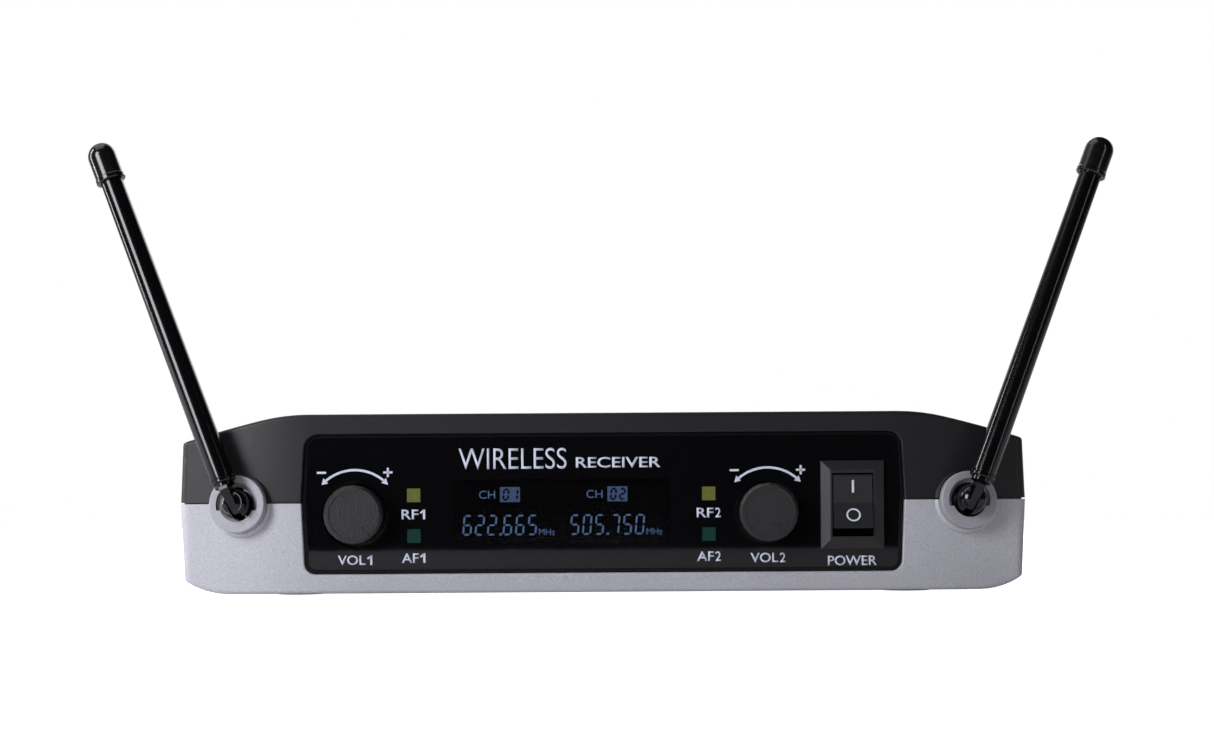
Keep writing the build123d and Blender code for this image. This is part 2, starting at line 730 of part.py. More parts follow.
def make_fascia():
    """Moulded carrier behind the lens, with knob wells and posts for the board."""
    window = [size - 2 * WINDOW_LEDGE for size in WINDOW_SIZE]
    with BuildPart() as fascia:
        extrude(
            opening_outline(facing_front(FASCIA_BACK), -PANEL_CLEARANCE),
            amount=FASCIA_BACK - FASCIA_FRONT,
        )
        extrude(
            opening_outline(facing_front(FASCIA_BACK), FLANGE_OVERLAP),
            amount=FASCIA_BACK - FLANGE_FRONT,
        )
        extrude(
            opening_outline(facing_front(LENS_BACK), -PANEL_CLEARANCE - LENS_INSET),
            amount=LENS_BACK - FRONT,
            mode=Mode.SUBTRACT,
        )
        with BuildSketch(facing_front(WELL_FLOOR + WELL_WALL)):
            with Locations([(x, KNOB_Z) for x in KNOB_X]):
                Circle(WELL_RADIUS + WELL_WALL)
        extrude(amount=WELL_FLOOR + WELL_WALL - FASCIA_BACK)
        with BuildSketch(facing_front(FRONT_BOARD_FRONT)):
            with Locations([(x, z) for x in FRONT_POST_X for z in FRONT_POST_Z]):
                Circle(FRONT_POST_RADIUS)
        extrude(amount=FRONT_BOARD_FRONT - FASCIA_BACK)
        with BuildSketch(facing_front(FRONT_BOARD_FRONT)):
            with Locations([(x, z) for x in FRONT_POST_X for z in FRONT_POST_Z]):
                Circle(BOARD_SCREW_RADIUS + SCREW_GAP)
        extrude(amount=BOARD_SCREW_LENGTH, mode=Mode.SUBTRACT)
        with BuildSketch(facing_front(WELL_FLOOR)):
            with Locations([(x, KNOB_Z) for x in KNOB_X]):
                Circle(WELL_RADIUS)
        extrude(amount=WELL_FLOOR - FRONT, mode=Mode.SUBTRACT)
        with BuildSketch(facing_front(WELL_FLOOR + WELL_WALL)):
            with Locations([(x, KNOB_Z) for x in KNOB_X]):
                Circle(BUSHING_RADIUS + BUSHING_FIT)
        extrude(amount=WELL_FLOOR + WELL_WALL - FRONT, mode=Mode.SUBTRACT)
        with BuildSketch(facing_front(FASCIA_BACK)):
            with Locations(WINDOW_CENTER):
                Rectangle(*window)
            with Locations([(x, z) for x in INDICATOR_X for z in (RF_Z, AF_Z)]):
                Rectangle(*INDICATOR_SIZE)
            with Locations((SWITCH_X, SWITCH_Z)):
                Rectangle(
                    SWITCH_BODY_WIDTH + 2 * SWITCH_HOLE_GAP,
                    SWITCH_BODY_HEIGHT + 2 * SWITCH_HOLE_GAP,
                )
        extrude(amount=FASCIA_BACK - FRONT, mode=Mode.SUBTRACT)
    save(fascia.part, "front_fascia")


def make_lens():
    """Glossy plate that covers the fascia, cut for every control and window."""
    with BuildPart() as lens:
        with BuildSketch(facing_front(LENS_BACK)):
            add(opening_outline(Plane.XY, -PANEL_CLEARANCE - LENS_INSET))
            control_holes(KNOB_X, KNOB_Z, WELL_RADIUS)
            indicator_holes(WINDOW_FIT)
            switch_hole()
            with Locations(WINDOW_CENTER):
                Rectangle(*WINDOW_SIZE, mode=Mode.SUBTRACT)
        extrude(amount=LENS_BACK - LENS_FRONT)
        front_edges = lens.faces().sort_by(Axis.Y)[0].outer_wire().edges()
        chamfer(front_edges, LENS_CHAMFER)
    save(lens.part, "fascia_lens")


def make_display():
    """Display window, glass panel and light box, one behind the other."""
    with BuildPart() as window:
        with BuildSketch(facing_front(LENS_BACK)):
            with Locations(WINDOW_CENTER):
                Rectangle(*[size - 2 * WINDOW_FIT for size in WINDOW_SIZE])
        extrude(amount=LENS_BACK - LENS_FRONT)
    save(window.part, "display_window")
    with BuildPart() as glass:
        with BuildSketch(facing_front(LCD_BACK)):
            with Locations(WINDOW_CENTER):
                Rectangle(*LCD_SIZE)
        extrude(amount=LCD_THICKNESS)
    save(glass.part, "lcd_panel")
    with BuildPart() as light_box:
        with BuildSketch(facing_front(FRONT_BOARD_FRONT)):
            with Locations(WINDOW_CENTER):
                RectangleRounded(*LCD_SIZE, LIGHT_BOX_RADIUS)
        extrude(amount=FRONT_BOARD_FRONT - LCD_BACK)
    save(light_box.part, "lcd_light_box")


def make_light_pipes():
    """Clear square rods that carry each indicator's light to the panel face."""
    flange = [size + 2 * PIPE_FLANGE for size in INDICATOR_SIZE]
    for kind, z in (("rf", RF_Z), ("af", AF_Z)):
        for channel, x in enumerate(INDICATOR_X, 1):
            with BuildPart() as pipe:
                with BuildSketch(facing_front(FASCIA_BACK + PIPE_TAIL)):
                    with Locations((x, z)):
                        Rectangle(*[size - 2 * WINDOW_FIT for size in INDICATOR_SIZE])
                extrude(amount=FASCIA_BACK + PIPE_TAIL - LENS_FRONT + PIPE_PROUD)
                with BuildSketch(facing_front(FASCIA_BACK + PIPE_FLANGE_THICKNESS)):
                    with Locations((x, z)):
                        Rectangle(*flange)
                extrude(amount=PIPE_FLANGE_THICKNESS)
            save(pipe.part, f"{kind}_light_pipe_{channel}")


def make_front_board():
    """Circuit board behind the fascia, its indicator lamps and its screws."""
    width = FRONT_BOARD_X[1] - FRONT_BOARD_X[0]
    height = FRONT_BOARD_Z[1] - FRONT_BOARD_Z[0]
    center = (sum(FRONT_BOARD_X) / 2, sum(FRONT_BOARD_Z) / 2)
    with BuildPart() as board:
        with BuildSketch(facing_front(FRONT_BOARD_BACK)):
            with Locations(center):
                Rectangle(width, height)
            with Locations([(x, z) for x in FRONT_POST_X for z in FRONT_POST_Z]):
                Circle(BOARD_SCREW_RADIUS + SCREW_GAP, mode=Mode.SUBTRACT)
        extrude(amount=BOARD_THICKNESS)
    save(board.part, "front_board")
    with BuildPart() as lamps:
        with BuildSketch(facing_front(FRONT_BOARD_FRONT)):
            with Locations([(x, z) for x in INDICATOR_X for z in (RF_Z, AF_Z)]):
                Rectangle(LED_SIZE, LED_SIZE)
        extrude(amount=FRONT_BOARD_FRONT - FASCIA_BACK - PIPE_TAIL - LED_GAP)
    save(lamps.part, "indicator_leds")


def make_board_screws():
    """Small screws that hold the front board and the main board."""
    with BuildPart() as screws:
        for x in FRONT_POST_X:
            for z in FRONT_POST_Z:
                with Locations(Plane(origin=(x, FRONT_BOARD_BACK, z), z_dir=(0, 1, 0))):
                    screw_stack(
                        BOARD_SCREW_HEAD,
                        BOARD_SCREW_HEAD_HEIGHT,
                        BOARD_SCREW_RADIUS,
                        BOARD_SCREW_LENGTH,
                    )
        for x in (-STANDOFF_X, STANDOFF_X):
            for dy in (-STANDOFF_DY, STANDOFF_DY):
                with Locations(Plane(origin=(x, MAIN_BOARD_Y + dy, MAIN_BOARD_TOP))):
                    screw_stack(
                        BOARD_SCREW_HEAD,
                        BOARD_SCREW_HEAD_HEIGHT,
                        BOARD_SCREW_RADIUS,
                        BOARD_SCREW_LENGTH,
                    )
    save(screws.part, "board_screws")


def shaft_section(plane, x, gap):
    """D-shaped section of a volume shaft, grown by gap."""
    radius = SHAFT_RADIUS + gap
    with BuildSketch(plane) as section:
        with Locations((x, KNOB_Z)):
            Circle(radius)
        with Locations((x, KNOB_Z - SHAFT_FLAT - gap)):
            Rectangle(2 * radius, radius, align=(Align.CENTER, Align.MAX), mode=Mode.SUBTRACT)
    return section.sketch


def make_volume_control(channel):
    """One rotary control: body on the board, shaft and knob."""
    x = KNOB_X[channel - 1]
    pointer = math.radians(POINTER_ANGLE)
    dimple = (x + POINTER_RADIUS * math.cos(pointer), KNOB_Z + POINTER_RADIUS * math.sin(pointer))
    with BuildPart() as pot:
        with BuildSketch(facing_front(FRONT_BOARD_FRONT)):
            with Locations((x, KNOB_Z)):
                Rectangle(*POT_SIZE)
        extrude(amount=FRONT_BOARD_FRONT - POT_FRONT)
        with BuildSketch(facing_front(POT_FRONT)):
            with Locations((x, KNOB_Z)):
                Circle(BUSHING_RADIUS)
        extrude(amount=POT_FRONT - BUSHING_FRONT)
        with BuildSketch(facing_front(POT_BORE_END)):
            with Locations((x, KNOB_Z)):
                Circle(SHAFT_RADIUS + SHAFT_FIT)
        extrude(amount=POT_BORE_END - FRONT, mode=Mode.SUBTRACT)
    save(pot.part, f"volume_pot_{channel}")
    with BuildPart() as shaft:
        with BuildSketch(facing_front(SHAFT_END)):
            with Locations((x, KNOB_Z)):
                Circle(SHAFT_RADIUS)
        extrude(amount=SHAFT_END - KNOB_BACK)
        extrude(shaft_section(facing_front(KNOB_BACK), x, 0), amount=KNOB_BACK - SHAFT_TIP)
    save(shaft.part, f"volume_shaft_{channel}")
    with BuildPart() as knob:
        with BuildSketch(facing_front(KNOB_BACK)):
            with Locations((x, KNOB_Z)):
                RegularPolygon(KNOB_RADIUS, KNOB_FLATS)
        extrude(amount=KNOB_BACK - KNOB_FRONT)
        chamfer(knob.faces().sort_by(Axis.Y)[0].edges(), KNOB_CHAMFER)
        with BuildSketch(facing_front(KNOB_FRONT)):
            with Locations((x, KNOB_Z)):
                Circle(KNOB_FACE_RADIUS)
        extrude(amount=-KNOB_DISH, mode=Mode.SUBTRACT)
        with BuildSketch(facing_front(KNOB_BACK)):
            with Locations((x, KNOB_Z)):
                Circle(KNOB_SKIRT_INNER)
                Circle(KNOB_HUB_RADIUS, mode=Mode.SUBTRACT)
        extrude(amount=KNOB_BACK - SHAFT_TIP, mode=Mode.SUBTRACT)
        extrude(
            shaft_section(facing_front(KNOB_BACK), x, 0),
            amount=KNOB_BACK - SHAFT_TIP,
            mode=Mode.SUBTRACT,
        )
        with BuildSketch(facing_front(KNOB_FRONT)):
            with Locations(dimple):
                Circle(DIMPLE_RADIUS)
            with Locations(Location((x, KNOB_Z), POINTER_ANGLE)):
                with Locations((POINTER_RADIUS, 0)):
                    Rectangle(KNOB_RADIUS, POINTER_WIDTH, align=(Align.MIN, Align.CENTER))
        extrude(amount=-KNOB_DISH - POINTER_DEPTH, mode=Mode.SUBTRACT)
    save(knob.part, f"volume_knob_{channel}")


# ---- power switch ----
def make_switch_frame():
    """Switch housing with a bevelled bezel, a rocker well and pivot holes."""
    slope = math.degrees(math.atan2(BEZEL_SLOPE_WIDTH, BEZEL_PROUD - BEZEL_RIM))
    with BuildPart() as frame:
        with BuildSketch(facing_front(LENS_FRONT)):
            with Locations((SWITCH_X, SWITCH_Z)):
                Rectangle(BEZEL_WIDTH, BEZEL_HEIGHT)
        extrude(amount=BEZEL_RIM)
        with BuildSketch(facing_front(LENS_FRONT - BEZEL_RIM)):
            with Locations((SWITCH_X, SWITCH_Z)):
                Rectangle(BEZEL_WIDTH, BEZEL_HEIGHT)
        extrude(amount=BEZEL_PROUD - BEZEL_RIM, taper=slope)
        with BuildSketch(facing_front(SWITCH_BODY_BACK)):
            with Locations((SWITCH_X, SWITCH_Z)):
                Rectangle(SWITCH_BODY_WIDTH, SWITCH_BODY_HEIGHT)
        extrude(amount=SWITCH_BODY_BACK - LENS_FRONT)
        with BuildSketch(facing_front(BEZEL_FRONT)):
            with Locations((SWITCH_X, SWITCH_Z)):
                Rectangle(ROCKER_WELL_WIDTH, ROCKER_WELL_HEIGHT)
        extrude(amount=-ROCKER_WELL_DEPTH, mode=Mode.SUBTRACT)
        with Locations(Location((SWITCH_X, BEZEL_FRONT + ROCKER_PIVOT_DEPTH, SWITCH_Z), (0, 90, 0))):
            Cylinder(
                TRUNNION_RADIUS + TRUNNION_FIT,
                ROCKER_WIDTH + 2 * TRUNNION_LENGTH + 2 * TRUNNION_END_GAP,
                mode=Mode.SUBTRACT,
            )
    save(frame.part, "power_switch_frame")


def rocker_profile():
    """Side view of the rocker about its pivot, turned to the ON position."""
    pivot_to_face = ROCKER_PIVOT_DEPTH + ROCKER_SADDLE
    vee = math.radians(ROCKER_VEE)
    tip = math.asin(pivot_to_face * math.cos(vee) / ROCKER_SWEEP) + vee
    tip_x = ROCKER_SWEEP * math.cos(tip)
    tip_y = ROCKER_SWEEP * math.sin(tip)
    heel_x = math.sqrt(ROCKER_SWEEP**2 - ROCKER_HEEL**2)
    plane = Plane(
        origin=(SWITCH_X, BEZEL_FRONT + ROCKER_PIVOT_DEPTH, SWITCH_Z),
        x_dir=(0, 0, 1),
        z_dir=(1, 0, 0),
    )
    with BuildSketch(plane) as profile:
        with BuildLine():
            Polyline((-tip_x, tip_y), (0, pivot_to_face), (tip_x, tip_y))
            ThreePointArc((tip_x, tip_y), (ROCKER_SWEEP, 0), (heel_x, -ROCKER_HEEL))
            Line((heel_x, -ROCKER_HEEL), (-heel_x, -ROCKER_HEEL))
            ThreePointArc((-heel_x, -ROCKER_HEEL), (-ROCKER_SWEEP, 0), (-tip_x, tip_y))
        make_face()
    return profile.sketch


def make_rocker():
    """Rocker with moulded pivots, its lower end raised as it stands when switched on."""
    pivot = (SWITCH_X, BEZEL_FRONT + ROCKER_PIVOT_DEPTH, SWITCH_Z)
    profile = rocker_profile().rotate(Axis(pivot, (1, 0, 0)), -ROCKER_TRAVEL / 2)
    with BuildPart() as rocker:
        extrude(profile, amount=ROCKER_WIDTH / 2, both=True)
        fillet(rocker.edges().filter_by(Axis.X).sort_by(Axis.Y)[0:2], ROCKER_EDGE_RADIUS)
        with Locations(Location(pivot, (0, 90, 0))):
            Cylinder(TRUNNION_RADIUS, ROCKER_WIDTH + 2 * TRUNNION_LENGTH)
    save(rocker.part, "power_rocker")


def make_switch_terminals():
    """Three flat tabs at the back of the switch."""
    width, height, length = TERMINAL_SIZE
    with BuildPart() as tabs:
        for offset_z in TERMINAL_OFFSETS:
            with Locations((SWITCH_X, SWITCH_BODY_BACK, SWITCH_Z + offset_z)):
                Box(height, length, width, align=(Align.CENTER, Align.MIN, Align.CENTER))
    save(tabs.part, "switch_terminals")


# ---- antennas ----
def make_antenna_ring(side):
    """Fixed ring with a spigot through the case and a stepped recess round its hole."""
    plane = antenna_plane(side)
    with BuildPart() as ring:
        with BuildSketch(plane.offset(BOSS_RISE)):
            Circle(SPIGOT_RADIUS)
        extrude(amount=-BOSS_DEPTH - BOSS_RISE)
        with BuildSketch(plane.offset(BOSS_RISE)):
            Circle(RING_RADIUS - RING_GROOVE)
        extrude(amount=RING_GROOVE)
        with BuildSketch(plane.offset(BOSS_RISE + RING_GROOVE)):
            Circle(RING_RADIUS)
        extrude(amount=RING_FACE - BOSS_RISE - RING_GROOVE)
        face_edge = ring.faces().filter_by(
            lambda f: abs(plane.to_local_coords(f.center()).Z - RING_FACE) < 0.01
        )
        fillet(face_edge.edges(), RING_CHAMFER)
        with BuildSketch(plane.offset(-BOSS_DEPTH)):
            Circle(RING_HOLE)
        extrude(amount=BOSS_DEPTH + RING_FACE, mode=Mode.SUBTRACT)
        with BuildSketch(plane.offset(RING_FACE)):
            Circle(RING_RECESS_RADIUS)
            with Locations((0, -RING_RECESS_DROP)):
                Rectangle(
                    2 * RING_RECESS_RADIUS,
                    RING_RECESS_RADIUS,
                    align=(Align.CENTER, Align.MAX),
                    mode=Mode.SUBTRACT,
                )
        extrude(amount=-RING_RECESS_DEPTH, mode=Mode.SUBTRACT)
    save(ring.part, f"antenna_ring_{side_name(side)}")


def make_antenna_swivel(side):
    """Slotted ball on a barrel that turns in the ring, with a threaded tail."""
    plane = leaning_plane(side)
    section = Plane(origin=plane.origin, x_dir=plane.x_dir, z_dir=plane.y_dir.reverse())
    dome_base = BALL_CENTER + math.sqrt(BALL_RADIUS**2 - DOME_RADIUS**2)
    with BuildPart() as swivel:
        with BuildSketch(section):
            with BuildLine():
                Polyline(
                    (LEAD_BORE, THREAD_END),
                    (THREAD_RADIUS, THREAD_END),
                    (THREAD_RADIUS, BARREL_BACK),
                    (BARREL_RADIUS, BARREL_BACK),
                    (BARREL_RADIUS, BARREL_FRONT),
                    (BALL_NECK_RADIUS, BARREL_FRONT),
                    (LEAD_BORE, BARREL_FRONT),
                    close=True,
                )
            make_face()
        revolve(axis=Axis(plane.origin, plane.z_dir))
        with Locations(plane.offset(BALL_CENTER)):
            Sphere(BALL_RADIUS)
        with Locations(plane.offset(HINGE_SLOT_FLOOR)):
            Cylinder(
                BALL_NECK_RADIUS,
                BALL_CENTER - HINGE_SLOT_FLOOR,
                align=(Align.CENTER, Align.CENTER, Align.MIN),
            )
        with Locations(plane.offset(dome_base)):
            Cylinder(DOME_RADIUS, DOME_RISE, align=(Align.CENTER, Align.CENTER, Align.CENTER))
        with Locations(plane.offset(HINGE_SLOT_FLOOR)):
            Box(
                HINGE_SLOT,
                3 * BALL_RADIUS,
                3 * BALL_RADIUS,
                align=(Align.CENTER, Align.CENTER, Align.MIN),
                mode=Mode.SUBTRACT,
            )
        with Locations(Plane(origin=plane.offset(BALL_CENTER).origin, z_dir=plane.x_dir)):
            Cylinder(HINGE_PIN_RADIUS, 3 * BALL_RADIUS, mode=Mode.SUBTRACT)
    save(swivel.part, f"antenna_swivel_{side_name(side)}")


def make_antenna_nut(side):
    """Hexagonal nut on the swivel's tail, inside the case."""
    plane = leaning_plane(side)
    with BuildPart() as nut:
        with BuildSketch(plane.offset(NUT_BACK)):
            RegularPolygon(NUT_RADIUS, 6)
            Circle(THREAD_RADIUS, mode=Mode.SUBTRACT)
        extrude(amount=BARREL_BACK - NUT_BACK)
    save(nut.part, f"antenna_nut_{side_name(side)}")


def make_hinge_pin(side):
    """Pin across the ball, on which the antenna folds."""
    plane = leaning_plane(side)
    with BuildPart() as pin:
        with Locations(Plane(origin=plane.offset(BALL_CENTER).origin, z_dir=plane.x_dir)):
            Cylinder(HINGE_PIN_RADIUS, 2 * HINGE_PIN_HALF)
    save(pin.part, f"hinge_pin_{side_name(side)}")


def make_antenna_neck(side):
    """Flat blade with an eye for the pin, a collar and a stem that enters the sleeve."""
    plane = leaning_plane(side)
    eye = plane.offset(BALL_CENTER).origin
    blade_plane = Plane(origin=eye, x_dir=plane.y_dir, z_dir=plane.x_dir)
    blade_end = ROD_START - ROD_COLLAR
    with BuildPart() as neck:
        with BuildSketch(blade_plane):
            Circle(BLADE_EYE_RADIUS)
            with Locations((blade_end, ROD_OFFSET)):
                Rectangle(
                    BLADE_ROOT,
                    2 * ROD_COLLAR_RADIUS - BLADE_SHOULDER,
                    align=(Align.MAX, Align.CENTER),
                )
            make_hull()
        extrude(amount=BLADE_THICKNESS / 2, both=True)
        with BuildSketch(rod_plane(side, blade_end)):
            Circle(ROD_COLLAR_RADIUS)
        extrude(amount=ROD_COLLAR)
        with BuildSketch(rod_plane(side, ROD_START)):
            Circle(STEM_RADIUS)
        extrude(amount=STEM_END - ROD_START)
        with Locations(Plane(origin=eye, z_dir=plane.x_dir)):
            Cylinder(HINGE_PIN_RADIUS + HINGE_FIT, 2 * BLADE_THICKNESS, mode=Mode.SUBTRACT)
    save(neck.part, f"antenna_neck_{side_name(side)}")


def make_antenna_sleeve(side):
    """Tapered tube with a bead and a groove at its lower end."""
    bead_end = ROD_START + BEAD_HEIGHT
    groove_end = bead_end + BEAD_GROOVE
    section = rod_section(side)
    with BuildPart() as sleeve:
        with BuildSketch(section):
            with BuildLine():
                Polyline(
                    (STEM_RADIUS, ROD_START),
                    (BEAD_RADIUS - BEAD_BREAK, ROD_START),
                    (BEAD_RADIUS, ROD_START + BEAD_BREAK),
                    (BEAD_RADIUS, bead_end - BEAD_BREAK),
                    (BEAD_RADIUS - BEAD_BREAK, bead_end),
                    (BEAD_GROOVE_RADIUS, bead_end),
                    (BEAD_GROOVE_RADIUS, groove_end),
                    (SLEEVE_RADIUS_LOW, groove_end),
                    (SLEEVE_RADIUS_HIGH, SLEEVE_END),
                    (STEM_RADIUS, SLEEVE_END),
                    close=True,
                )
            make_face()
        revolve(axis=Axis(section.origin, section.y_dir))
    save(sleeve.part, f"antenna_sleeve_{side_name(side)}")


def make_antenna_element(side):
    """Metal rod inside the sleeve."""
    with BuildPart() as element:
        with BuildSketch(rod_plane(side, STEM_END)):
            Circle(ELEMENT_RADIUS)
        extrude(amount=ELEMENT_END - STEM_END)
    save(element.part, f"antenna_element_{side_name(side)}")


def make_antenna_tip(side):
    """Bullet-shaped rubber cap with a rim, over the end of the sleeve."""
    section = rod_section(side)
    shoulder = TIP_END - TIP_RADIUS
    with BuildPart() as tip:
        with BuildSketch(section):
            with BuildLine():
                Polyline(
                    (0, TIP_END),
                    (0, SLEEVE_END),
                    (TIP_BORE, SLEEVE_END),
                    (TIP_BORE, TIP_START),
                    (TIP_RIM_RADIUS - BEAD_BREAK, TIP_START),
                    (TIP_RIM_RADIUS, TIP_START + BEAD_BREAK),
                    (TIP_RIM_RADIUS, TIP_START + TIP_RIM),
                    (TIP_RADIUS, TIP_START + TIP_RIM + RIM_STEP),
                    (TIP_RADIUS, shoulder),
                )
                CenterArc((0, shoulder), TIP_RADIUS, 0, 90)
            make_face()
        revolve(axis=Axis(section.origin, section.y_dir))
    save(tip.part, f"antenna_tip_{side_name(side)}")


def make_antenna_lead(side):
    """Thin coaxial lead from inside the swivel's tail to the receiver module."""
    plane = antenna_plane(side)
    start = plane.from_local_coords(Vector(0, 0, THREAD_END + LEAD_ENTRY))
    straight = plane.from_local_coords(Vector(0, 0, THREAD_END - LEAD_STRAIGHT))
    route = [
        start,
        straight,
        Vector(side * LEAD_MIDDLE[0], LEAD_MIDDLE[1], LEAD_MIDDLE[2]),
        Vector(side * MODULE_X, LEAD_TURN_Y, LEAD_HEIGHT),
        Vector(side * MODULE_X, MODULE_Y - MODULE_SIZE[1] / 2, LEAD_HEIGHT),
    ]
    with BuildPart() as lead:
        with BuildLine() as path:
            FilletPolyline(*route, radius=LEAD_BEND)
        with BuildSketch(Plane(origin=start, z_dir=straight - start)):
            Circle(LEAD_RADIUS)
        sweep(path=path.wires()[0])
    save(lead.part, f"antenna_lead_{side_name(side)}")


# ---- rear sockets ----
def xlr_screw_offsets():
    """Screw holes of a socket's flange, on one diagonal."""
    half_x = XLR_SCREW_SPACING[0] / 2
    half_z = XLR_SCREW_SPACING[1] / 2
    return [(-half_x, half_z), (half_x, -half_z)]


def make_xlr_socket(number):
    """Three-pin output socket: a shell with a square flange and a keyed bore."""
    x = XLR_X[number - 1]
    floor = REAR_PLATE_BACK + XLR_FLANGE_THICKNESS - XLR_DEPTH
    with BuildPart() as shell:
        with BuildSketch(facing_back(REAR_PLATE_BACK)):
            with Locations((-x, SOCKET_Z)):
                RectangleRounded(*XLR_FLANGE, XLR_FLANGE_RADIUS)
                for dx, dz in xlr_screw_offsets():
                    with Locations((dx, dz)):
                        Circle(XLR_SCREW_RADIUS + SCREW_GAP, mode=Mode.SUBTRACT)
        extrude(amount=XLR_FLANGE_THICKNESS)
        with BuildSketch(facing_back(floor - XLR_FLOOR)):
            with Locations((-x, SOCKET_Z)):
                Circle(XLR_BARREL_RADIUS)
        extrude(amount=REAR_PLATE_BACK - floor + XLR_FLOOR)
        with BuildSketch(facing_back(floor)):
            with Locations((-x, SOCKET_Z)):
                Circle(XLR_BORE_RADIUS)
                with Locations((0, XLR_BORE_RADIUS)):
                    Rectangle(*XLR_KEY)
        extrude(amount=XLR_DEPTH, mode=Mode.SUBTRACT)
        with BuildSketch(facing_back(floor)):
            with Locations((-x, SOCKET_Z)):
                with PolarLocations(XLR_PIN_CIRCLE, 3, start_angle=-90):
                    Circle(XLR_PIN_RADIUS)
        extrude(amount=-XLR_FLOOR, mode=Mode.SUBTRACT)
    save(shell.part, f"xlr_socket_{number}")


def make_xlr_contacts():
    """Three pins in each output socket, with tails for the wiring."""
    mouth = REAR_PLATE_BACK + XLR_FLANGE_THICKNESS
    tail_end = mouth - XLR_DEPTH - XLR_FLOOR - XLR_PIN_TAIL
    with BuildPart() as pins:
        with BuildSketch(facing_back(tail_end)):
            with Locations([(-x, SOCKET_Z) for x in XLR_X]):
                with PolarLocations(XLR_PIN_CIRCLE, 3, start_angle=-90):
                    Circle(XLR_PIN_RADIUS)
        extrude(amount=mouth - XLR_PIN_SETBACK - tail_end)
    save(pins.part, "xlr_contacts")


def make_xlr_screws():
    """Four screws that hold the two output sockets."""
    with BuildPart() as screws:
        for x in XLR_X:
            for dx, dz in xlr_screw_offsets():
                seat = (x - dx, REAR_PLATE_BACK + XLR_FLANGE_THICKNESS, SOCKET_Z + dz)
                with Locations(Plane(origin=seat, z_dir=(0, 1, 0))):
                    screw_stack(
                        XLR_SCREW_HEAD,
                        XLR_SCREW_HEAD_HEIGHT,
                        XLR_SCREW_RADIUS,
                        XLR_SCREW_LENGTH,
                    )
    save(screws.part, "xlr_screws")


def make_mix_jack():
    """Quarter-inch jack with a threaded bushing, washer and nut."""
    outer = REAR_PLATE_BACK + JACK_BUSHING_OUT
    washer_back = REAR_PLATE_BACK + JACK_WASHER_THICKNESS
    with BuildPart() as jack:
        with BuildSketch(facing_back(REAR_PLATE_FRONT)):
            with Locations((-JACK_X, SOCKET_Z)):
                Rectangle(*JACK_BODY)
        extrude(amount=-JACK_BODY_DEPTH)
        with BuildSketch(facing_back(REAR_PLATE_FRONT)):
            with Locations((-JACK_X, SOCKET_Z)):
                Circle(JACK_BUSHING_RADIUS)
        extrude(amount=outer - REAR_PLATE_FRONT)
        with BuildSketch(facing_back(outer)):
            with Locations((-JACK_X, SOCKET_Z)):
                Circle(JACK_BORE_RADIUS)
        extrude(amount=-JACK_BODY_DEPTH, mode=Mode.SUBTRACT)
    save(jack.part, "mix_jack")
    with BuildPart() as washer:
        with BuildSketch(facing_back(REAR_PLATE_BACK)):
            with Locations((-JACK_X, SOCKET_Z)):
                Circle(JACK_WASHER_RADIUS)
                Circle(JACK_BUSHING_RADIUS, mode=Mode.SUBTRACT)
        extrude(amount=JACK_WASHER_THICKNESS)
    save(washer.part, "mix_jack_washer")
    with BuildPart() as nut:
        with BuildSketch(facing_back(washer_back)):
            with Locations((-JACK_X, SOCKET_Z)):
                RegularPolygon(JACK_NUT_RADIUS, 6)
                Circle(JACK_BUSHING_RADIUS, mode=Mode.SUBTRACT)
        extrude(amount=JACK_NUT_THICKNESS)
    save(nut.part, "mix_jack_nut")


def make_dc_jack():
    """Low-voltage supply inlet and its centre pin."""
    with BuildPart() as inlet:
        with BuildSketch(facing_back(REAR_PLATE_FRONT)):
            with Locations((-DC_X, SOCKET_Z)):
                Rectangle(*DC_BODY)
        extrude(amount=-DC_BODY_DEPTH)
        with BuildSketch(facing_back(REAR_PLATE_FRONT)):
            with Locations((-DC_X, SOCKET_Z)):
                Circle(DC_COLLAR_RADIUS)
        extrude(amount=REAR_PLATE_THICKNESS)
        with BuildSketch(facing_back(REAR_PLATE_BACK)):
            with Locations((-DC_X, SOCKET_Z)):
                Circle(DC_BORE_RADIUS)
        extrude(amount=-DC_BORE_DEPTH, mode=Mode.SUBTRACT)
        with BuildSketch(facing_back(REAR_PLATE_BACK)):
            with Locations((-DC_X, SOCKET_Z)):
                Circle(DC_PIN_RADIUS)
        extrude(amount=-REAR_PLATE_THICKNESS - DC_BODY_DEPTH, mode=Mode.SUBTRACT)
    save(inlet.part, "dc_inlet")
    with BuildPart() as pin:
        with BuildSketch(facing_back(REAR_PLATE_FRONT - DC_BODY_DEPTH)):
            with Locations((-DC_X, SOCKET_Z)):
                Circle(DC_PIN_RADIUS)
        extrude(amount=DC_BODY_DEPTH + REAR_PLATE_THICKNESS - DC_PIN_SETBACK)
    save(pin.part, "dc_inlet_pin")


# ---- inside the case ----
def make_main_board():
    """Main circuit board on the bottom cover's standoffs."""
    with BuildPart() as board:
        with BuildSketch(Plane.XY.offset(MAIN_BOARD_Z)):
            with Locations((0, MAIN_BOARD_Y)):
                Rectangle(*MAIN_BOARD_SIZE)
                with GridLocations(2 * STANDOFF_X, 2 * STANDOFF_DY, 2, 2):
                    Circle(BOARD_SCREW_RADIUS + SCREW_GAP, mode=Mode.SUBTRACT)
        extrude(amount=BOARD_THICKNESS)
    save(board.part, "main_board")


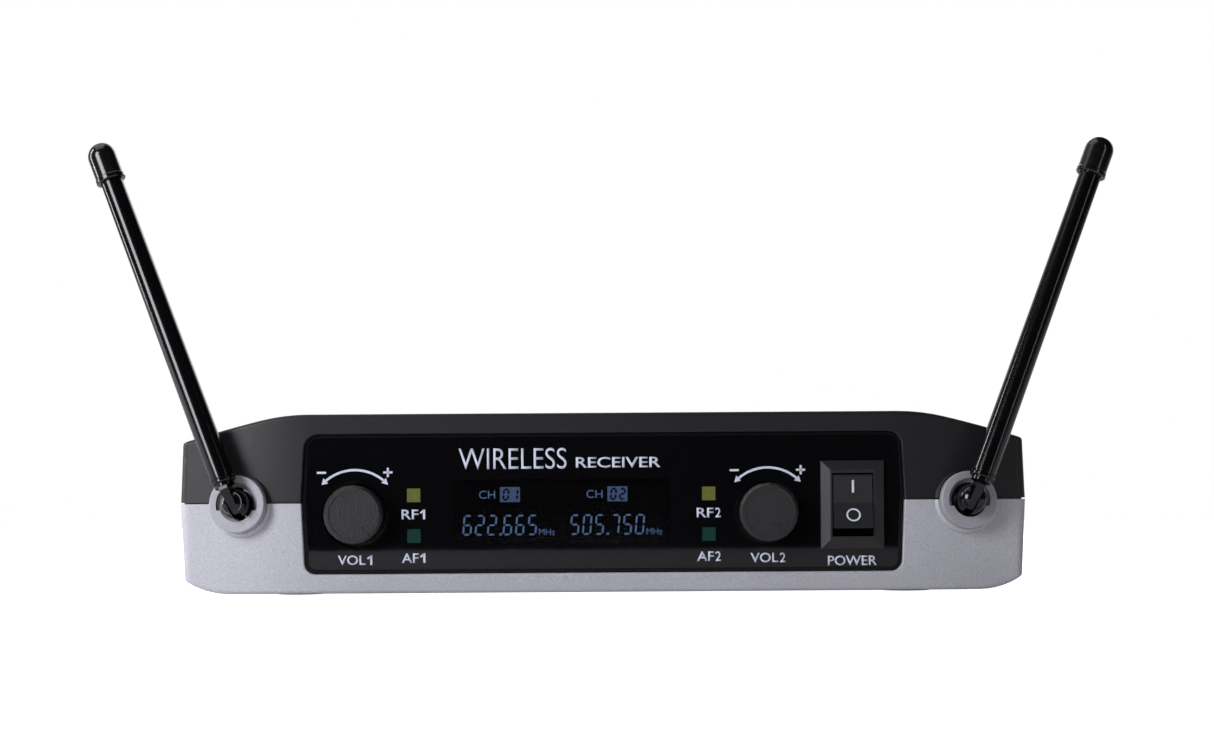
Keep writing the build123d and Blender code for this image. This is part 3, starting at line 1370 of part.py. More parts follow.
def make_board_components():
    """Capacitors and chips on the main board."""
    with BuildPart() as capacitors:
        with BuildSketch(Plane.XY.offset(MAIN_BOARD_TOP)):
            with Locations([(x, CAPACITOR_Y) for x in CAPACITOR_X]):
                Circle(CAPACITOR_RADIUS)
        extrude(amount=CAPACITOR_HEIGHT)
        fillet(capacitors.edges().group_by(Axis.Z)[-1], CAPACITOR_ROUND)
    save(capacitors.part, "board_capacitors")
    with BuildPart() as chips:
        with BuildSketch(Plane.XY.offset(MAIN_BOARD_TOP)):
            with Locations([(x, CHIP_Y) for x in CHIP_X]):
                Rectangle(*CHIP_SIZE[:2])
        extrude(amount=CHIP_SIZE[2])
        chamfer(chips.edges().group_by(Axis.Z)[-1], CHIP_CHAMFER)
    save(chips.part, "board_chips")


def make_receiver_module(number, x):
    """Folded metal can, open below, over one channel's receiver."""
    width, length, height = MODULE_SIZE
    with BuildPart() as can:
        with BuildSketch(Plane.XY.offset(MAIN_BOARD_TOP)):
            with Locations((x, MODULE_Y)):
                RectangleRounded(width, length, MODULE_CORNER)
        extrude(amount=height)
        with BuildSketch(Plane.XY.offset(MAIN_BOARD_TOP)):
            with Locations((x, MODULE_Y)):
                Rectangle(width - 2 * MODULE_WALL, length - 2 * MODULE_WALL)
        extrude(amount=height - MODULE_WALL, mode=Mode.SUBTRACT)
        with BuildSketch(Plane.XY.offset(MAIN_BOARD_TOP + height)):
            with Locations((x, MODULE_Y)):
                with GridLocations(MODULE_HOLE_PITCH, MODULE_HOLE_PITCH, 3, 4):
                    Circle(MODULE_HOLE)
        extrude(amount=-2 * MODULE_WALL, mode=Mode.SUBTRACT)
    save(can.part, f"receiver_module_{number}")


def make_ribbon():
    """Flat cable from the back of the front board to the main board."""
    start = (FRONT_BOARD_BACK, RIBBON_Z)
    turn = (MAIN_BOARD_Y - MAIN_BOARD_SIZE[1] / 2 + RIBBON_LANDING, RIBBON_Z)
    end = (turn[0], MAIN_BOARD_TOP)
    with BuildPart() as ribbon:
        with BuildSketch(Plane.YZ.offset(-RIBBON_WIDTH / 2)):
            with BuildLine():
                Polyline(start, turn, end)
            trace(line_width=RIBBON_THICKNESS)
        extrude(amount=RIBBON_WIDTH)
    save(ribbon.part, "ribbon_cable")


os.makedirs("parts", exist_ok=True)

make_top_cover()
make_bottom_cover()
make_rear_panel()
make_feet()
make_case_screws()
make_fascia()
make_lens()
make_display()
make_light_pipes()
make_front_board()
make_board_screws()
for channel_number in (1, 2):
    make_volume_control(channel_number)
make_switch_frame()
make_rocker()
make_switch_terminals()
for antenna_side in (-1, 1):
    make_antenna_ring(antenna_side)
    make_antenna_swivel(antenna_side)
    make_antenna_nut(antenna_side)
    make_hinge_pin(antenna_side)
    make_antenna_neck(antenna_side)
    make_antenna_sleeve(antenna_side)
    make_antenna_element(antenna_side)
    make_antenna_tip(antenna_side)
    make_antenna_lead(antenna_side)
for socket_number in (1, 2):
    make_xlr_socket(socket_number)
make_xlr_contacts()
make_xlr_screws()
make_mix_jack()
make_dc_jack()
make_main_board()
make_board_components()
make_receiver_module(1, -MODULE_X)
make_receiver_module(2, MODULE_X)
make_ribbon()
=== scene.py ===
import json
import math
import bpy
from mathutils import Matrix, Vector


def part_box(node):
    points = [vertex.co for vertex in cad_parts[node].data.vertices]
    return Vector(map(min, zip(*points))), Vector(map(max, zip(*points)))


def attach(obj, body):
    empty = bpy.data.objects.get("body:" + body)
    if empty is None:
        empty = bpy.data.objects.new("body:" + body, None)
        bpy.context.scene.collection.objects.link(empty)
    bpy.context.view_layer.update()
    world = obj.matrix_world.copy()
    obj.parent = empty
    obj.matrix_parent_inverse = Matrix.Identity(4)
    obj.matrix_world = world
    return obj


# Looks for a twin-channel wireless receiver: finishes for every part, the printed and lit
# markings on its panel, a pale table, soft light and a camera in front.

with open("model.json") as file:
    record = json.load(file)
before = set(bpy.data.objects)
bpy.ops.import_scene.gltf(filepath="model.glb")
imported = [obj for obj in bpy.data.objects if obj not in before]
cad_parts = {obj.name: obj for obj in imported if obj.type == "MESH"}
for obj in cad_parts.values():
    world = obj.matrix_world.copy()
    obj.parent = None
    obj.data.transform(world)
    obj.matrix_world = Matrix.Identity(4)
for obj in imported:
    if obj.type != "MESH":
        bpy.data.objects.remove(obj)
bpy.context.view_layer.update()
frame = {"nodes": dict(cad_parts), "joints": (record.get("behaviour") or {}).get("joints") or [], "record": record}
MM = 0.001
nodes = frame["nodes"]

# ---- places read from the model ----
LENS_FRONT_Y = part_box("fascia_lens")[0].y
FEET_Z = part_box("rubber_feet")[0].z


def middle(node):
    """Centre of a part's box at rest."""
    low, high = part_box(node)
    return (low + high) / 2


# ---- print and display sizes, millimetres ----
INK = 0.03                      # thickness of printed marks
INK_BREAK = 0.008               # bevel on their edges
KNOB_MARK_RADIUS = 10.6         # arc arrow round a knob
KNOB_MARK_HALF_ANGLE = 41.0
KNOB_MARK_STROKE = 0.55
KNOB_MARK_STEPS = 28
ARROW_HEAD = 0.95
SIGN_SPAN = 2.2
SIGN_STROKE = 0.5
SIGN_X = 7.9                    # minus and plus, from the knob's axis
SIGN_Z = 10.0
ARROW_LEAD = 2.0                # degrees, arrow heads past the ends of the arc
LEGEND_HEIGHT = 2.3
LEGEND_WEIGHT = 0.014           # thickening of the letters' strokes
THIN_WEIGHT = -0.004
NUMBER_GAP = 0.35
NUMBER_WIDTH = 1.35
ONE_STROKE = 0.52
ONE_STEM_X = 0.42               # parts of the figure one, as fractions of its height
ONE_FLAG_X = 0.22
ONE_FLAG_Z = 0.78
ONE_FLAG_LENGTH = 0.5
ONE_FLAG_STROKE = 0.8           # of the stem's stroke
ONE_FLAG_TURN = -40.0           # degrees
KNOB_WORD_LEFT = -4.15          # from the knob's axis
KNOB_WORD_BASE = 7.4
KNOB_WORD_WIDTH = 6.65
LAMP_WORD_LEFT = -2.9           # from the lamps' middle
LAMP_WORD_WIDTH = 4.05
RF_WORD_BASE = 18.2
AF_WORD_BASE = 7.8
POWER_WORD_BASE = 6.55
POWER_WORD_SIZE = (11.7, 2.35)
TITLE = (                       # word, left edge, base, width, height, weight
    ("WIRELESS", -34.3, 30.0, 25.7, 5.0, THIN_WEIGHT),
    ("RECEIVER", -6.4, 30.2, 20.2, 2.55, LEGEND_WEIGHT),
)
REAR_WORDS = (("mix_jack", "MIX OUT", 10.5), ("dc_inlet", "DC IN", 7.2))
REAR_WORD_BASE = 8.6
REAR_WORD_HEIGHT = 1.9
READOUTS = ((-33.75, "622.665", "01"), (-8.05, "505.750", "02"))    # left edge, figures, channel
READOUT_BASE = 14.17
DIGIT_SIZE = (2.2, 4.95)
DIGIT_STROKE = 0.45
DIGIT_PITCH = 2.95
POINT_SIZE = 0.55
POINT_PITCH = 0.79
POINT_BACK = 0.3                # towards the figure before it
POINT_Z = 14.45
UNIT_LEFT = 18.4                # words and tag, from the readout's left edge
UNIT_BASE = 14.2
UNIT_SIZE = (3.85, 1.5)
CHANNEL_WORD_LEFT = 4.1
CHANNEL_WORD_BASE = 23.0
CHANNEL_WORD_SIZE = (3.85, 1.9)
TAG_LEFT = 9.1
TAG_Z = 23.95
TAG_SIZE = (4.8, 3.6)
TAG_DIGIT_SIZE = (1.6, 2.95)
TAG_DIGIT_STROKE = 0.5
TAG_DIGIT_PITCH = 2.15
TAG_DIGIT_LEFT = 0.8            # from the tag's left edge
TAG_DIGIT_BASE = 22.48
SEGMENT_GAP = 0.16              # between the ends of neighbouring segments
TAG_SEGMENT_GAP = -0.2          # these ends overlap, so that the dark strokes stay solid
DIGIT_SLANT = 0.085
SEGMENTS = {
    "0": "abcdef",
    "1": "bc",
    "2": "abged",
    "5": "afgcd",
    "6": "afgedc",
    "7": "abc",
}

LENS_SHINE = 0.3
ROCKER_END_WIDTH = 9.4          # painted shade on the lower end of the rocker
ROCKER_END_HEIGHT = 1.75


# ---- finishes ----
class Term:
    """A value or colour inside a finish. Arithmetic on it adds Math nodes."""

    def __init__(self, finish, socket):
        self.finish = finish
        self.socket = socket

    def math(self, operation, first, second):
        return self.finish.node("ShaderNodeMath", {"operation": operation}, {0: first, 1: second})

    def __add__(self, other):
        return self.math("ADD", self, other)

    def __radd__(self, other):
        return self.math("ADD", other, self)

    def __sub__(self, other):
        return self.math("SUBTRACT", self, other)

    def __rsub__(self, other):
        return self.math("SUBTRACT", other, self)

    def __mul__(self, other):
        return self.math("MULTIPLY", self, other)

    def __rmul__(self, other):
        return self.math("MULTIPLY", other, self)

    def __truediv__(self, other):
        return self.math("DIVIDE", self, other)

    def __rtruediv__(self, other):
        return self.math("DIVIDE", other, self)

    def __pow__(self, other):
        return self.math("POWER", self, other)

    def __rpow__(self, other):
        return self.math("POWER", other, self)


class Finish:
    """A material built from nodes round one principled shader."""

    def __init__(self, name, **constants):
        self.material = bpy.data.materials.new(name)
        self.material.use_nodes = True
        self.tree = self.material.node_tree
        self.tree.nodes.clear()
        self.shader = self.tree.nodes.new("ShaderNodeBsdfPrincipled")
        output = self.tree.nodes.new("ShaderNodeOutputMaterial")
        self.tree.links.new(self.shader.outputs[0], output.inputs["Surface"])
        for socket_name, value in constants.items():
            self.shader.inputs[socket_name.replace("_", " ")].default_value = value
        self.place = self.node("ShaderNodeTexCoord", out="Object")

    def node(self, kind, settings=None, inputs=None, out=0):
        """Add a node, set it (a ramp's stops too), feed it, and return one output."""
        made = self.tree.nodes.new(kind)
        for key, value in (settings or {}).items():
            if key == "stops":
                while len(made.color_ramp.elements) < len(value):
                    made.color_ramp.elements.new(1.0)
                for element, (position, colour) in zip(made.color_ramp.elements, value):
                    element.position = position
                    element.color = (*colour, 1.0)
            else:
                setattr(made, key, value)
        for key, value in (inputs or {}).items():
            self.feed(made.inputs[key], value)
        return Term(self, made.outputs[out])

    def feed(self, socket, value):
        """Link a term to a socket, or set the socket to a value."""
        if isinstance(value, Term):
            self.tree.links.new(value.socket, socket)
        elif isinstance(value, tuple) and len(value) == 3 and socket.type == "RGBA":
            socket.default_value = (*value, 1.0)
        else:
            socket.default_value = value

    def noise(self, size, detail=2.0, roughness=0.5):
        """Noise from 0 to 1 with features of about this many millimetres."""
        inputs = {"Scale": 1.0 / (size * MM), "Detail": detail, "Roughness": roughness}
        return self.node("ShaderNodeTexNoise", {}, {"Vector": self.place, **inputs})

    def cells(self, size):
        """Distance to the nearest of many scattered points, size millimetres apart."""
        return self.node(
            "ShaderNodeTexVoronoi", {}, {"Vector": self.place, "Scale": 1.0 / (size * MM)}
        )

    def ramp(self, value, *stops):
        """Colour that follows a value through (position, colour) stops."""
        return self.node("ShaderNodeValToRGB", {"stops": stops}, {0: value})

    def within(self, value, middle, reach):
        """One where a value is within reach of the middle, and nothing elsewhere."""
        return self.node(
            "ShaderNodeMath", {"operation": "COMPARE"}, {0: value, 1: middle, 2: reach}
        )

    def blend(self, factor, first, second):
        """Mix of two colours."""
        return self.node(
            "ShaderNodeMix", {"data_type": "RGBA"}, {0: factor, 6: first, 7: second}, out=2
        )

    def bump(self, height, depth):
        """Surface relief of this depth in millimetres."""
        return self.node("ShaderNodeBump", {}, {"Height": height, "Distance": depth * MM})

    def set(self, **values):
        """Feed sockets of the shader."""
        for socket_name, value in values.items():
            self.feed(self.shader.inputs[socket_name.replace("_", " ")], value)
        return self


def tint(colour, factor):
    """A colour made lighter or darker by a factor."""
    return tuple(channel * factor for channel in colour)


def moulded(name, colour, grain=0.35, depth=0.02, gloss=0.5, spread=0.25, shine=0.4):
    """Spark-eroded moulded plastic: even colour, fine pits and a soft sheen."""
    finish = Finish(name, Specular_IOR_Level=shine)
    pits = finish.noise(grain, detail=3.0, roughness=0.6)
    cloud = finish.noise(18.0)
    return finish.set(
        Base_Color=finish.blend(pits, tint(colour, 1 - spread), tint(colour, 1 + spread)),
        Roughness=gloss + 0.12 * (pits - 0.5) + 0.08 * (cloud - 0.5),
        Normal=finish.bump(pits, depth),
    )


def switch_plastic(name, colour):
    """Moulded switch plastic, dark, with painted shade on the end of the rocker that stands out."""
    finish = Finish(name)
    low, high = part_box("power_rocker")
    x = finish.node("ShaderNodeSeparateXYZ", {}, {0: finish.place}, out="X")
    z = finish.node("ShaderNodeSeparateXYZ", {}, {0: finish.place}, out="Z")
    wide = finish.within(x, (low.x + high.x) / 2, ROCKER_END_WIDTH * MM / 2)
    tall = finish.within(z, low.z + ROCKER_END_HEIGHT * MM / 2, ROCKER_END_HEIGHT * MM / 2)
    # painted shade: the rocker's lower end face is darkened, made metallic and rougher so it keeps no sheen
    painted_shade = wide * tall
    pits = finish.noise(0.3, detail=3.0, roughness=0.6)
    plain = finish.blend(pits, tint(colour, 0.75), tint(colour, 1.25))
    return finish.set(
        Base_Color=finish.blend(painted_shade, plain, tint(colour, 0.1)),
        Metallic=painted_shade,
        Roughness=0.46 + 0.12 * (pits - 0.5) + 0.5 * painted_shade,
        Normal=finish.bump(pits, 0.02),
    )


def sanded(name, colour, gloss=0.42):
    """Coarse sand-textured plastic whose grains catch the light."""
    finish = Finish(name, Specular_IOR_Level=0.5)
    sand = finish.noise(0.55, detail=4.0, roughness=0.7)
    grit = finish.cells(0.38)
    return finish.set(
        Base_Color=finish.blend(sand, tint(colour, 0.6), tint(colour, 1.5)),
        Roughness=gloss + 0.2 * (sand - 0.5),
        Normal=finish.bump(0.6 * sand + 0.4 * grit, 0.11),
    )


def silver_paint(name, colour, flake=0.24):
    """Silver paint: fine metal flakes under a satin coat, a little uneven."""
    finish = Finish(name, Specular_IOR_Level=0.5)
    grain = finish.noise(flake, roughness=0.65)
    speck = finish.cells(0.5)
    cloud = finish.noise(9.0, detail=3.0)
    sparkle = finish.ramp(
        grain, (0.3, tint(colour, 0.66)), (0.5, colour), (0.72, tint(colour, 1.3))
    )
    return finish.set(
        Base_Color=finish.blend(0.4 * cloud, sparkle, tint(colour, 0.84)),
        Metallic=0.16 + 0.3 * (grain - 0.5),
        Roughness=0.52 + 0.14 * (speck - 0.4) + 0.06 * cloud,
        Normal=finish.bump(grain, 0.014),
    )


def polished(name, colour, roughness=0.05, smudge=0.05, shine=0.5):
    """Polished plastic with faint handling marks."""
    finish = Finish(name, Specular_IOR_Level=shine)
    haze = finish.noise(22.0, detail=4.0, roughness=0.6)
    wipe = finish.noise(3.0)
    return finish.set(
        Base_Color=finish.blend(haze, colour, tint(colour, 1.5)),
        Roughness=roughness + smudge * haze * wipe,
        Normal=finish.bump(haze, 0.004),
    )


def rubber(name, colour, gloss=0.34):
    """Satin rubber with a faint moulding grain."""
    finish = Finish(name, Specular_IOR_Level=0.5)
    grain = finish.noise(0.4)
    bloom = finish.noise(6.0, detail=3.0)
    return finish.set(
        Base_Color=finish.blend(bloom, colour, tint(colour, 1.6)),
        Roughness=gloss + 0.14 * (bloom - 0.5) + 0.06 * grain,
        Normal=finish.bump(grain, 0.01),
    )


def metal(name, colour, roughness=0.3, grain=0.3):
    """Turned or rolled metal with a fine grain."""
    finish = Finish(name, Metallic=1.0)
    lines = finish.noise(grain, detail=3.0, roughness=0.7)
    stain = finish.noise(4.0)
    return finish.set(
        Base_Color=finish.blend(stain, tint(colour, 0.9), tint(colour, 1.08)),
        Roughness=roughness + 0.14 * (lines - 0.5) + 0.08 * (stain - 0.5),
        Normal=finish.bump(lines, 0.006),
    )


def light_pipe(name, colour, glow):
    """Tinted clear plastic with a little light behind it."""
    finish = Finish(name, Emission_Strength=glow, Roughness=0.18, Specular_IOR_Level=0.3)
    cloud = finish.noise(1.3)
    shade = finish.blend(cloud, tint(colour, 0.8), tint(colour, 1.2))
    return finish.set(Base_Color=shade, Emission_Color=shade, Normal=finish.bump(cloud, 0.01))


def printed(name, colour, roughness=0.5):
    """Screen-printed ink, very slightly uneven."""
    finish = Finish(name)
    grain = finish.noise(0.25)
    return finish.set(
        Base_Color=finish.blend(grain, tint(colour, 0.9), tint(colour, 1.08)),
        Roughness=roughness + 0.1 * grain,
        Normal=finish.bump(grain, 0.004),
    )


def lit(name, colour, strength):
    """Display segment that gives off an even, slightly cloudy light."""
    finish = Finish(name, Emission_Strength=strength, Roughness=0.6, Specular_IOR_Level=0.1)
    cloud = finish.noise(2.2, detail=1.0)
    shade = finish.blend(cloud, tint(colour, 0.86), tint(colour, 1.12))
    return finish.set(Base_Color=tint(colour, 0.1), Emission_Color=shade)


def smoked(name, colour, alpha):
    """Smoked clear plastic: dark, glossy and partly see-through."""
    finish = Finish(name, Specular_IOR_Level=LENS_SHINE)
    haze = finish.noise(20.0, detail=3.0)
    return finish.set(
        Base_Color=finish.blend(haze, colour, tint(colour, 1.4)),
        Roughness=0.05 + 0.04 * haze,
        Alpha=alpha + 0.03 * (haze - 0.5),
    )


def circuit_board(name):
    """Solder mask over copper tracks that run in two directions."""
    finish = Finish(name, Specular_IOR_Level=0.5)
    track = finish.node(
        "ShaderNodeTexBrick",
        {"offset": 0.37},
        {"Vector": finish.place, "Scale": 160.0, "Mortar Size": 0.03},
        out="Fac",
    )
    cloud = finish.noise(6.0)
    mask = finish.blend(cloud, (0.008, 0.09, 0.035), (0.012, 0.13, 0.05))
    return finish.set(
        Base_Color=finish.blend(track, mask, (0.03, 0.2, 0.08)),
        Roughness=0.32 + 0.1 * cloud,
        Normal=finish.bump(track, 0.03),
    )


LENS_BLACK = (0.0020, 0.0020, 0.0026)
SILVER = (0.465, 0.47, 0.51)
FINISHES = {
    "black_cover": moulded("black_cover", (0.0066, 0.0067, 0.0092), grain=0.34, gloss=0.47),
    "silver_cover": silver_paint("silver_cover", SILVER),
    "black_plastic": moulded("black_plastic", (0.009, 0.009, 0.010), grain=0.4, gloss=0.52),
    "panel_black": polished("panel_black", LENS_BLACK, roughness=0.22, shine=0.25),
    "gloss_lens": polished(
        "gloss_lens", LENS_BLACK, roughness=0.015, smudge=0.03, shine=LENS_SHINE
    ),
    "smoked_window": smoked("smoked_window", LENS_BLACK, 0.55),
    "display_glass": polished("display_glass", (0.0012, 0.0014, 0.002), roughness=0.4, shine=0.05),
    "white_plastic": moulded("white_plastic", (0.6, 0.6, 0.58), gloss=0.5, spread=0.05),
    "rf_pipe": light_pipe("rf_pipe", (0.085, 0.091, 0.022), 0.45),
    "af_pipe": light_pipe("af_pipe", (0.0012, 0.022, 0.016), 0.5),
    "circuit_board": circuit_board("circuit_board"),
    "knob_black": sanded("knob_black", (0.012, 0.012, 0.0135)),
    "switch_black": switch_plastic("switch_black", (0.010, 0.010, 0.012)),
    "antenna_black": polished(
        "antenna_black", (0.0016, 0.0016, 0.0022), roughness=0.12, smudge=0.1, shine=0.42
    ),
    "tip_rubber": rubber("tip_rubber", (0.0035, 0.0035, 0.004), gloss=0.13),
    "foot_rubber": rubber("foot_rubber", (0.012, 0.012, 0.012), gloss=0.5),
    "silver_ring": silver_paint("silver_ring", tint(SILVER, 0.74), flake=0.17),
    "steel": metal("steel", (0.55, 0.55, 0.54)),
    "black_steel": metal("black_steel", (0.06, 0.06, 0.062), roughness=0.4),
    "brass": metal("brass", (0.72, 0.52, 0.22)),
    "tin_can": metal("tin_can", (0.62, 0.62, 0.61), roughness=0.35, grain=0.8),
    "nickel": metal("nickel", (0.66, 0.64, 0.60), roughness=0.2),
    "cable_black": moulded("cable_black", (0.012, 0.012, 0.012), gloss=0.45),
    "cable_grey": moulded("cable_grey", (0.3, 0.3, 0.31), gloss=0.5, spread=0.1),
}
PANEL_INK = printed("panel_ink", (0.62, 0.67, 0.80))
SWITCH_INK = printed("switch_ink", (0.62, 0.66, 0.76))
SEGMENT_LIGHT = lit("segment_light", (0.30, 0.52, 1.0), 1.0)
TAG_LIGHT = lit("tag_light", (0.20, 0.32, 0.66), 1.0)
TAG_DARK = printed("tag_dark", (0.003, 0.004, 0.006))

for part in frame["record"]["subparts"]:
    for material_slot in nodes[part["node"]].material_slots:
        material_slot.material = FINISHES[part["material_slot"]].material


# ---- making pieces ----
def start():
    """Deselect everything before a new primitive is added."""
    bpy.ops.object.select_all(action="DESELECT")


def settle():
    """Put the place, turn and size of the new piece into its mesh, and return it."""
    bpy.ops.object.transform_apply(location=True, rotation=True, scale=True)
    return bpy.context.object


def soften(piece, width):
    """Bevel every edge by a width in millimetres."""
    bevel = piece.modifiers.new("edges", "BEVEL")
    bevel.width = width * MM
    bevel.segments = 1
    bevel.limit_method = "ANGLE"
    bpy.context.view_layer.objects.active = piece
    bpy.ops.object.modifier_apply(modifier=bevel.name)
    return piece


def finish_piece(piece, name, finish, body):
    """Name a piece, give it its finish and fasten it to a body."""
    piece.name = name
    piece.data.name = name
    piece.data.materials.clear()
    piece.data.materials.append(finish.material)
    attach(piece, body)
    return piece


def joined(pieces):
    """One mesh made of several."""
    start()
    for piece in pieces:
        piece.select_set(True)
    bpy.context.view_layer.objects.active = pieces[0]
    bpy.ops.object.join()
    return bpy.context.view_layer.objects.active


def thicken():
    """Raise all the faces of the active flat mesh by the thickness of ink, in edit mode."""
    bpy.ops.object.mode_set(mode="EDIT")
    bpy.ops.mesh.select_all(action="SELECT")
    bpy.ops.mesh.remove_doubles(threshold=INK * MM / 100)
    bpy.ops.mesh.extrude_region_move(TRANSFORM_OT_translate={"value": (0, 0, INK * MM)})
    bpy.ops.mesh.select_all(action="SELECT")
    bpy.ops.mesh.normals_make_consistent(inside=False)
    bpy.ops.object.mode_set(mode="OBJECT")


def facing(left, base, y, backward=False):
    """Matrix that stands flat print up at depth y, seen from the front or from behind."""
    upright = Matrix.Rotation(math.pi / 2, 4, "X")
    if backward:
        upright = Matrix.Rotation(math.pi, 4, "Z") @ upright
    return Matrix.Translation((left * MM, y, base * MM)) @ upright


def lettering(words, left, base, width, height, y, weight=LEGEND_WEIGHT, backward=False):
    """Printed words that fill a width and height in millimetres, on a plane of depth y."""
    start()
    bpy.ops.object.text_add()
    piece = bpy.context.object
    piece.data.body = words
    piece.data.offset = weight
    piece.data.resolution_u = 6
    bpy.ops.object.convert(target="MESH")
    corners = [vertex.co for vertex in piece.data.vertices]
    low = Vector([min(corner[axis] for corner in corners) for axis in range(3)])
    high = Vector([max(corner[axis] for corner in corners) for axis in range(3)])
    fit = Matrix.Diagonal((width * MM / (high.x - low.x), height * MM / (high.y - low.y), 1.0, 1.0))
    piece.data.transform(fit @ Matrix.Translation(-low))
    thicken()
    piece.data.transform(facing(left, base, y, backward))
    return piece


def bar(x, z, width, height, y, turn=0.0):
    """Printed bar of a width and height in millimetres, its middle at x, z."""
    start()
    bpy.ops.mesh.primitive_cube_add(
        size=1.0,
        location=(x * MM, y - INK * MM / 2, z * MM),
        rotation=(0, math.radians(turn), 0),
        scale=(width * MM, INK * MM, height * MM),
    )
    return soften(settle(), INK_BREAK)


def numeral_one(left, base, height, y):
    """Printed figure one: an upright stroke with a short flag."""
    stem_x = left + height * ONE_STEM_X
    flag_x = left + height * ONE_FLAG_X
    flag_z = base + height * ONE_FLAG_Z
    flag_stroke = ONE_STROKE * ONE_FLAG_STROKE
    return [
        bar(stem_x, base + height / 2, ONE_STROKE, height, y),
        bar(flag_x, flag_z, height * ONE_FLAG_LENGTH, flag_stroke, y, turn=ONE_FLAG_TURN),
    ]


def arrow_head(x, z, angle, y):
    """Printed triangle that points along angle, in degrees from +X towards +Z."""
    start()
    bpy.ops.mesh.primitive_cylinder_add(
        vertices=3,
        radius=ARROW_HEAD * MM,
        depth=INK * MM,
        location=(x * MM, y - INK * MM / 2, z * MM),
        rotation=(math.pi / 2, math.radians(90 - angle), 0),
    )
    return soften(settle(), INK_BREAK)


def dial_arc(x, z, y):
    """Arc of even width over a knob, spun from its cross-section."""
    first = math.radians(90 - KNOB_MARK_HALF_ANGLE)
    start()
    bpy.ops.mesh.primitive_plane_add(
        size=1.0,
        location=(
            (x + KNOB_MARK_RADIUS * math.cos(first)) * MM,
            y - INK * MM / 2,
            (z + KNOB_MARK_RADIUS * math.sin(first)) * MM,
        ),
        rotation=(0, -first, 0),
    )
    piece = bpy.context.object
    piece.scale = (KNOB_MARK_STROKE * MM, INK * MM, 1.0)
    settle()
    bpy.ops.object.mode_set(mode="EDIT")
    bpy.ops.mesh.select_all(action="SELECT")
    bpy.ops.mesh.spin(
        steps=KNOB_MARK_STEPS,
        angle=math.radians(2 * KNOB_MARK_HALF_ANGLE),
        center=(x * MM, y, z * MM),
        axis=(0, 1, 0),
    )
    bpy.ops.mesh.select_all(action="SELECT")
    bpy.ops.mesh.normals_make_consistent(inside=False)
    bpy.ops.object.mode_set(mode="OBJECT")
    return piece


def knob_legend(channel):
    """Arc with an arrow head at each end, a minus, a plus and the name of the control."""
    centre = middle(f"volume_knob_{channel}") / MM
    y = LENS_FRONT_Y
    pieces = [dial_arc(centre.x, centre.z, y)]
    for side in (-1, 1):
        end = math.radians(90 - side * (KNOB_MARK_HALF_ANGLE + ARROW_LEAD))
        tip_x = centre.x + KNOB_MARK_RADIUS * math.cos(end)
        tip_z = centre.z + KNOB_MARK_RADIUS * math.sin(end)
        pieces.append(arrow_head(tip_x, tip_z, math.degrees(end) - side * 90, y))
    sign_z = centre.z + SIGN_Z
    pieces.append(bar(centre.x - SIGN_X, sign_z, SIGN_SPAN, SIGN_STROKE, y))
    pieces.append(bar(centre.x + SIGN_X, sign_z, SIGN_SPAN, SIGN_STROKE, y))
    pieces.append(bar(centre.x + SIGN_X, sign_z, SIGN_STROKE, SIGN_SPAN, y))
    left = centre.x + KNOB_WORD_LEFT
    pieces += numbered("VOL", channel, left, KNOB_WORD_BASE, KNOB_WORD_WIDTH)
    return pieces


def numbered(word, channel, left, base, width):
    """A word in print with the channel's number after it."""
    y = LENS_FRONT_Y
    pieces = [lettering(word, left, base, width, LEGEND_HEIGHT, y)]
    number_left = left + width + NUMBER_GAP
    if channel == 1:
        pieces += numeral_one(number_left, base, LEGEND_HEIGHT, y)
    else:
        pieces.append(lettering("2", number_left, base, NUMBER_WIDTH, LEGEND_HEIGHT, y))
    return pieces


def make_panel_print():
    """All the ink on the panel."""
    pieces = []
    for channel in (1, 2):
        left = middle(f"rf_light_pipe_{channel}").x / MM + LAMP_WORD_LEFT
        pieces += knob_legend(channel)
        pieces += numbered("RF", channel, left, RF_WORD_BASE, LAMP_WORD_WIDTH)
        pieces += numbered("AF", channel, left, AF_WORD_BASE, LAMP_WORD_WIDTH)
    left = middle("power_switch_frame").x / MM - POWER_WORD_SIZE[0] / 2
    pieces.append(lettering("POWER", left, POWER_WORD_BASE, *POWER_WORD_SIZE, LENS_FRONT_Y))
    finish_piece(joined(pieces), "panel_print", PANEL_INK, "chassis")
    title = [
        lettering(word, left, base, width, height, LENS_FRONT_Y, weight=weight)
        for word, left, base, width, height, weight in TITLE
    ]
    finish_piece(joined(title), "panel_title", PANEL_INK, "chassis")


def make_rear_print():
    """Names of the mix output and the supply inlet, on the rear panel."""
    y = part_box("rear_panel")[1].y
    pieces = []
    for node, word, width in REAR_WORDS:
        left = middle(node).x / MM + width / 2
        pieces.append(
            lettering(word, left, REAR_WORD_BASE, width, REAR_WORD_HEIGHT, y, backward=True)
        )
    finish_piece(joined(pieces), "rear_print", PANEL_INK, "chassis")


# ---- display ----
def segment_bar(length, stroke):
    """Flat bar along x with pointed ends, as one display segment."""
    start()
    bpy.ops.mesh.primitive_plane_add(size=1.0)
    piece = bpy.context.object
    piece.scale = ((length - stroke) * MM, stroke * MM, 1.0)
    settle()
    edge_x = (length - stroke) * MM / 2
    for side in (-1, 1):
        for vertex in piece.data.vertices:
            vertex.select = abs(vertex.co.x - side * edge_x) < INK * MM / 10
        for edge in piece.data.edges:
            edge.select = all(piece.data.vertices[index].select for index in edge.vertices)
        for face in piece.data.polygons:
            face.select = False
        bpy.ops.object.mode_set(mode="EDIT")
        bpy.ops.mesh.extrude_region_move(
            TRANSFORM_OT_translate={"value": (side * stroke * MM / 2, 0, 0)}
        )
        bpy.ops.mesh.merge(type="CENTER")
        bpy.ops.object.mode_set(mode="OBJECT")
    thicken()
    return piece


